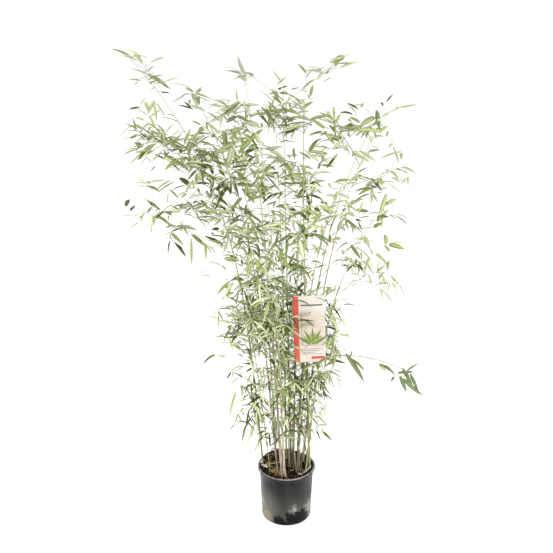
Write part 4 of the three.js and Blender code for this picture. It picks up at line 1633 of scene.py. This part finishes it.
def strew_blades(look, edge, rng):
    """Dry blades that lie any way, with one end a little up."""
    count = look.litter // 2
    x, y = drift(count, edge - 14 * MM, rng)
    turn = rng.uniform(0, 2 * np.pi, count)
    direction = unit(np.stack([np.cos(turn), np.sin(turn), rng.uniform(0.0, 0.35, count)], -1))
    long = rng.uniform(14, 42, count) * MM
    base = on_soil(look, x, y, 3.5 * MM) - direction * long[:, None] / 2
    base[:, 2] = np.maximum(base[:, 2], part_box("soil")[1].z)
    wide = rng.uniform(2.5, 6.5, count) * MM
    top = unit(UP + 0.5 * rng.normal(size=direction.shape))
    droop = rng.uniform(0, 0.35, count)
    blades, _ = blade_bodies(base, direction, top, long, wide, droop, DRY_FOLD, DRY_KEEL)
    new_piece("dry_blades", blades, [straw_finish("dry_blade", look.straw[:])])


def strew_stems(look, edge, rng):
    """Pieces of straw, each a curve whose middle is pushed aside and up at random."""
    count = round(0.6 * look.litter)
    x, y = drift(count, edge - 25 * MM, rng)
    turn = rng.uniform(0, 2 * np.pi, count)
    flat = np.stack([np.cos(turn), np.sin(turn), rng.uniform(-0.05, 0.3, count)], -1)
    long = rng.uniform(15, 55, (count, 1)) * MM
    middle = on_soil(look, x, y, 5 * MM)
    bow = middle + rng.normal(size=(count, 3)) * [0.12, 0.12, 0] * long
    bow = bow + rng.uniform(0, 5, (count, 1)) * MM * UP
    stems = bezier(middle - flat * long / 2, bow, bow, middle + flat * long / 2, STEM_ROWS)
    radii = rng.uniform(0.6, 1.3, (count, 1)) * MM * np.linspace(1, 0.7, STEM_ROWS)
    body = tubes(stems, radii, STEM_SIDES)
    new_piece("straw_stems", body, [straw_finish("straw_stem", look.straw[:])])


def strew_scraps(look, rng):
    """
    Crumpled scraps: along, each follows its own direction; across, it curls up as v^2; and
    two random waves crumple it.
    """
    x, y, long, wide = np.array(SCRAPS).T * MM
    count = len(x)
    turn = np.arctan2(y, x) + np.pi / 2 + rng.normal(size=count) * 0.5
    ahead = np.stack([np.cos(turn), np.sin(turn), 0.2 * rng.normal(size=count)], -1)
    side = unit(np.cross(ahead, UP) + 0.5 * rng.normal(size=(count, 3)))
    v, u = np.meshgrid(np.linspace(-1, 1, 7), np.linspace(-1, 1, 12), indexing="ij")
    a, b, c = rng.uniform(0, 6, (3, count, 1, 1))
    wave = 0.09 * np.sin(5 * u + a + 2 * v) + 0.06 * np.sin(9 * u - 4 * v + b) + 0.16 * v**2
    narrow = (1 - 0.5 * u**2) * (1 + 0.2 * np.sin(4 * u + c)) * (wide / long)[:, None, None]
    middle = on_soil(look, x, y, 5 * MM)
    flat = u[..., None] * ahead[:, None, None] / 2 + (v * narrow)[..., None] * side[:, None, None]
    points = middle[:, None, None] + long[:, None, None, None] * (flat + wave[..., None] * UP)
    body = thick_sheets(points, SCRAP_THICKNESS)
    new_piece("sheath_scraps", body, [straw_finish("sheath_scrap", look.pale[:])])


def lay_stick(look):
    """A broken stick that lies along one curve and tapers."""
    bends = on_soil(look, *STICK_BENDS.T, 7 * MM)[:, None]
    radii = np.linspace(*STICK_TAPER, STICK_ROWS)[None] * MM
    body = tubes(bezier(*bends, STICK_ROWS), radii, STICK_SIDES)
    new_piece("broken_stick", body, [straw_finish("stick_bark", look.stick[:])])


def make_litter(look):
    """Bark chips, dry blades, straw stems, bleached scraps and a broken stick on the compost."""
    rng = np.random.default_rng(look.seed)
    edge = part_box("soil")[1].x - EDGE_ROOM
    strew_chips(look, edge, rng)
    strew_blades(look, edge, rng)
    strew_stems(look, edge, rng)
    strew_scraps(look, rng)
    lay_stick(look)


# ------------------------------------------------------------------ label

CARD_ROWS = 33
CARD_COLUMNS = 15
CARD_CORNER = 0.09  # how far the card is narrowed at its corners, as a share of its half width
CARD_ROUND = 0.036  # and how far down they are rounded, as a share of its half height
PRINT_LIFT = 0.12 * MM
PRINT_THICKNESS = 0.1 * MM
# The printed patches' left, right, bottom and top, in the card's half sizes.
PANEL = (-0.52, 0.93, -0.5, 0.55)
STRIPE = (-0.985, -0.64, -0.985, 0.985)
BAR = (0.1, 0.93, -0.9, -0.82)
HEADING = (-0.5, 0.85, 0.7, 0.745)
RULES = 4
RULE_STEP = 0.05
RULE_HEIGHT = 0.012
# The printed fan: the tint, the turns of its blades in degrees and their length in millimetres.
FAN_ROOT = (0.2, -0.46)
FAN = (("deep", (150, 118, 90, 62, 30), 74), ("light", (134, 104, 76, 46), 58))
FAN_WIDTH = 7 * MM  # half width of a blade


def card_frame():
    """The card's middle, its two directions in its own plane and its half sizes, from its node."""
    points = node_points("label_card")
    flat = points[:, [0, 2]] - points[:, [0, 2]].mean(axis=0)
    axes = np.linalg.svd(flat, full_matrices=False)[2]
    up = axes[0] * np.sign(axes[0][1])
    right = np.array([up[1], -up[0]])
    across, along = flat @ right, flat @ up
    middle = points.mean(axis=0)
    centre = (across.max() + across.min()) / 2 * right + (along.max() + along.min()) / 2 * up
    middle[[0, 2]] += centre
    return SimpleNamespace(
        middle=middle,
        right=np.array([right[0], 0, right[1]]),
        up=np.array([up[0], 0, up[1]]),
        half_width=np.ptp(across) / 2,
        half_height=np.ptp(along) / 2,
        thick=np.ptp(points[:, 1]),
    )


def on_card(card, bow, u, v, lift):
    """
    Point of the card at u across and v up, both from -1 to 1: the middle of the card
    bows forward as 1 - u^2 and its foot curls forward as the square of the way down.
    """
    forward = bow * (1 - u**2) + 0.8 * bow * np.clip(-v, 0, 1) ** 2 + lift
    flat = u[..., None] * card.half_width * card.right + v[..., None] * card.half_height * card.up
    return card.middle + flat - forward[..., None] * np.array([0, 1, 0])


def print_patch(card, bow, box, rows, columns, lift=1.0):
    """The grid of a printed rectangle on the card."""
    left, right, bottom, top = box
    v, u = np.meshgrid(np.linspace(bottom, top, rows), np.linspace(left, right, columns), indexing="ij")
    return on_card(card, bow, u, v, card.thick / 2 + lift * PRINT_LIFT)[None]


def print_leaf(card, bow, root, turn, long, wide):
    """The grid of a printed blade: its half width is wide * sin(pi * s^0.7) along its length."""
    s = np.linspace(0, 1, 9)
    half = wide * np.maximum(np.sin(np.pi * s**0.7), 0.03)
    ahead = np.array([math.cos(turn), math.sin(turn)])
    side = np.array([-ahead[1], ahead[0]])
    flat = np.array(root) + (s * long)[:, None] * ahead
    edge = np.stack([flat + half[:, None] * side, flat, flat - half[:, None] * side], axis=1)
    u = edge[..., 0] / card.half_width
    v = edge[..., 1] / card.half_height
    return on_card(card, bow, u, v, card.thick / 2 + 1.5 * PRINT_LIFT)[None]


def make_label(look):
    """A coated card with a plain stripe and bar, a fan of printed blades on a tinted panel, and rules."""
    card = card_frame()
    bow = look.bow
    up, across = np.linspace(-1, 1, CARD_ROWS), np.linspace(-1, 1, CARD_COLUMNS)
    v, u = np.meshgrid(up, across, indexing="ij")
    into_corner = np.clip((np.abs(v) - (1 - CARD_ROUND)) / CARD_ROUND, 0, 1)
    squeeze = 1 - CARD_CORNER * (1 - np.sqrt(1 - into_corner**2))
    sheet = on_card(card, bow, u * squeeze, v, 0)
    body = thick_sheets(sheet[None], card.thick)
    new_piece("card", body, [card_finish("label_board", look.card[:])], ["label_card"])

    def printed(name, finish, tint, patches):
        """One piece of thin patches in one colour."""
        sheets = join([thick_sheets(patch, PRINT_THICKNESS) for patch in patches])
        new_piece(name, sheets, [card_finish(finish, tint[:])])

    printed("card_panel", "label_peach", look.panel, [print_patch(card, bow, PANEL, 18, 9, 0.5)])
    stripe = print_patch(card, bow, STRIPE, 24, 4)
    bar = print_patch(card, bow, BAR, 3, 8)
    printed("card_stripe", "label_red", look.stripe, [stripe, bar])

    root = (FAN_ROOT[0] * card.half_width, FAN_ROOT[1] * card.half_height)
    for tint, turns, long in FAN:
        blades = [print_leaf(card, bow, root, math.radians(turn), long * MM, FAN_WIDTH) for turn in turns]
        printed(f"card_fan_{tint}", f"label_{tint}_green", getattr(look, tint), blades)

    lines = [print_patch(card, bow, HEADING, 3, 9)]
    for index in range(RULES):
        low = -0.6 - RULE_STEP * index
        right = 0.8 - 0.2 * (index % 3)
        lines.append(print_patch(card, bow, (-0.5, right, low, low + RULE_HEIGHT), 2, 9))
    printed("card_rules", "label_grey", look.rule, lines)

    band = Finish("tie_plastic", look.tie, Roughness=0.35)
    worn = band.wear(bump=band.noise(300, 3), lift=0.3, distance=0.2 * MM)
    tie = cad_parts["label_tie"].data
    tie.materials.clear()
    tie.materials.append(worn)


# ------------------------------------------------------------------ stage

FLOOR_REACH = 40  # from the pot to the floor's edge
LIGHT_SIZE = 2.4
LIGHT_AIM = np.array([0, 0, 1.0])
# The soft lights: power and place.
LIGHTS = {"key": (130, (-2.2, -2.6, 3.6)), "fill": (85, (2.8, -1.6, 2.2))}


def add_light(name, power, place):
    """A square light that looks at the middle of the plant."""
    light = bpy.data.lights.new(name, "AREA")
    light.shape = "SQUARE"
    light.size = LIGHT_SIZE
    light.energy = power
    lamp = bpy.data.objects.new(name, light)
    bpy.context.scene.collection.objects.link(lamp)
    lamp.location = place
    x, y, z = LIGHT_AIM - place
    lamp.rotation_euler = (math.atan2(math.hypot(x, y), -z), 0, math.atan2(y, x) - math.pi / 2)


def make_stage(look):
    """A pale floor, a white surround, two soft lights and the camera."""
    scene = bpy.context.scene
    camera_data = bpy.data.cameras.new("camera")
    camera_data.lens = look.lens
    camera_data.sensor_width = 36
    camera_data.clip_end = 200
    camera = bpy.data.objects.new("camera", camera_data)
    scene.collection.objects.link(camera)
    camera.location = (0, -look.distance, look.eye)
    camera.rotation_euler = (math.pi / 2 - look.pitch, 0, look.yaw)
    scene.camera = camera

    steps = np.linspace(-FLOOR_REACH, FLOOR_REACH, 3)
    v, u = np.meshgrid(steps, steps, indexing="ij")
    sheet = np.stack([u, v, np.zeros_like(u)], -1)
    mesh = bpy.data.meshes.new("floor")
    mesh.from_pydata(sheet.reshape(-1, 3).tolist(), [], grid_faces(3, 3).tolist())
    floor = bpy.data.objects.new("floor", mesh)
    scene.collection.objects.link(floor)
    white = {"Emission Color": (1, 1, 1, 1), "Emission Strength": look.glow}
    mesh.materials.append(Finish("studio_floor", (0.93, 0.93, 0.93), Roughness=0.9, **white).material)
    floor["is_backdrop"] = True

    world = bpy.data.worlds.new("surround")
    world.use_nodes = True
    background = next(n for n in world.node_tree.nodes if n.type == "BACKGROUND")
    background.inputs["Color"].default_value = (1, 1, 1, 1)
    background.inputs["Strength"].default_value = look.sky
    scene.world = world

    for name, (power, place) in LIGHTS.items():
        add_light(name, power, place)
    scene.view_settings.view_transform = "Standard"
    scene.view_settings.look = "None"


# ------------------------------------------------------------------ operators and panel


class BAMBOO_OT_stage(Operator):
    """Set up the floor, the surround, the lights and the camera"""

    bl_idname = "bamboo.stage"
    bl_label = "Stage"

    def execute(self, context):
        make_stage(context.scene.bamboo_stage)
        return {"FINISHED"}


class BAMBOO_OT_pot(Operator):
    """Turn the plastic pot with its rim, lip and foot"""

    bl_idname = "bamboo.pot"
    bl_label = "Pot"

    def execute(self, context):
        make_pot(context.scene.bamboo_pot)
        return {"FINISHED"}


class BAMBOO_OT_soil(Operator):
    """Fill the pot with uneven bark compost"""

    bl_idname = "bamboo.soil"
    bl_label = "Compost"

    def execute(self, context):
        make_soil(context.scene.bamboo_soil)
        return {"FINISHED"}


class BAMBOO_OT_litter(Operator):
    """Strew bark chips, dry blades and straw over the compost"""

    bl_idname = "bamboo.litter"
    bl_label = "Litter"

    def execute(self, context):
        make_litter(context.scene.bamboo_soil)
        return {"FINISHED"}


class BAMBOO_OT_canes(Operator):
    """Grow the jointed canes and boughs along the frame's limbs"""

    bl_idname = "bamboo.canes"
    bl_label = "Canes and boughs"

    def execute(self, context):
        make_canes(context.scene.bamboo_canes)
        return {"FINISHED"}


class BAMBOO_OT_sheaths(Operator):
    """Wrap papery sheaths round the lower joints"""

    bl_idname = "bamboo.sheaths"
    bl_label = "Sheaths"

    def execute(self, context):
        make_sheaths(context.scene.bamboo_canes)
        return {"FINISHED"}


class BAMBOO_OT_foliage(Operator):
    """Grow twigs and sprays of leaves from the limbs into every mass"""

    bl_idname = "bamboo.foliage"
    bl_label = "Twigs and leaves"

    def execute(self, context):
        make_foliage(context.scene.bamboo_foliage)
        return {"FINISHED"}


class BAMBOO_OT_label(Operator):
    """Hang the printed card on its tie"""

    bl_idname = "bamboo.label"
    bl_label = "Label"

    def execute(self, context):
        make_label(context.scene.bamboo_label)
        return {"FINISHED"}


OPERATORS = (
    BAMBOO_OT_stage,
    BAMBOO_OT_pot,
    BAMBOO_OT_soil,
    BAMBOO_OT_litter,
    BAMBOO_OT_canes,
    BAMBOO_OT_sheaths,
    BAMBOO_OT_foliage,
    BAMBOO_OT_label,
)

SETTINGS = {
    "bamboo_stage": StageSettings,
    "bamboo_pot": PotSettings,
    "bamboo_soil": SoilSettings,
    "bamboo_canes": CaneSettings,
    "bamboo_foliage": FoliageSettings,
    "bamboo_label": LabelSettings,
}


class BAMBOO_PT_panel(Panel):
    """Lists the steps and their settings"""

    bl_idname = "BAMBOO_PT_panel"
    bl_label = "Potted Bamboo"
    bl_space_type = "VIEW_3D"
    bl_region_type = "UI"
    bl_category = "Bamboo"

    def draw(self, context):
        for step in OPERATORS:
            self.layout.operator(step.bl_idname)
        for key, settings in SETTINGS.items():
            box = self.layout.box()
            for name in settings.__annotations__:
                box.prop(getattr(context.scene, key), name)


def register():
    for key, settings in SETTINGS.items():
        bpy.utils.register_class(settings)
        setattr(bpy.types.Scene, key, PointerProperty(type=settings))
    for step in OPERATORS:
        bpy.utils.register_class(step)
    bpy.utils.register_class(BAMBOO_PT_panel)


def unregister():
    bpy.utils.unregister_class(BAMBOO_PT_panel)
    for step in reversed(OPERATORS):
        bpy.utils.unregister_class(step)
    for key, settings in SETTINGS.items():
        delattr(bpy.types.Scene, key)
        bpy.utils.unregister_class(settings)


def corners():
    """The two corners of everything that is there now."""
    return [list(corner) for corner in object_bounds()]


def main():
    """Makes every piece in order."""
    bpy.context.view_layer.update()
    register()
    for step in OPERATORS:
        area, name = step.bl_idname.split(".")
        getattr(getattr(bpy.ops, area), name)()


if __name__ == "__main__":
    main()
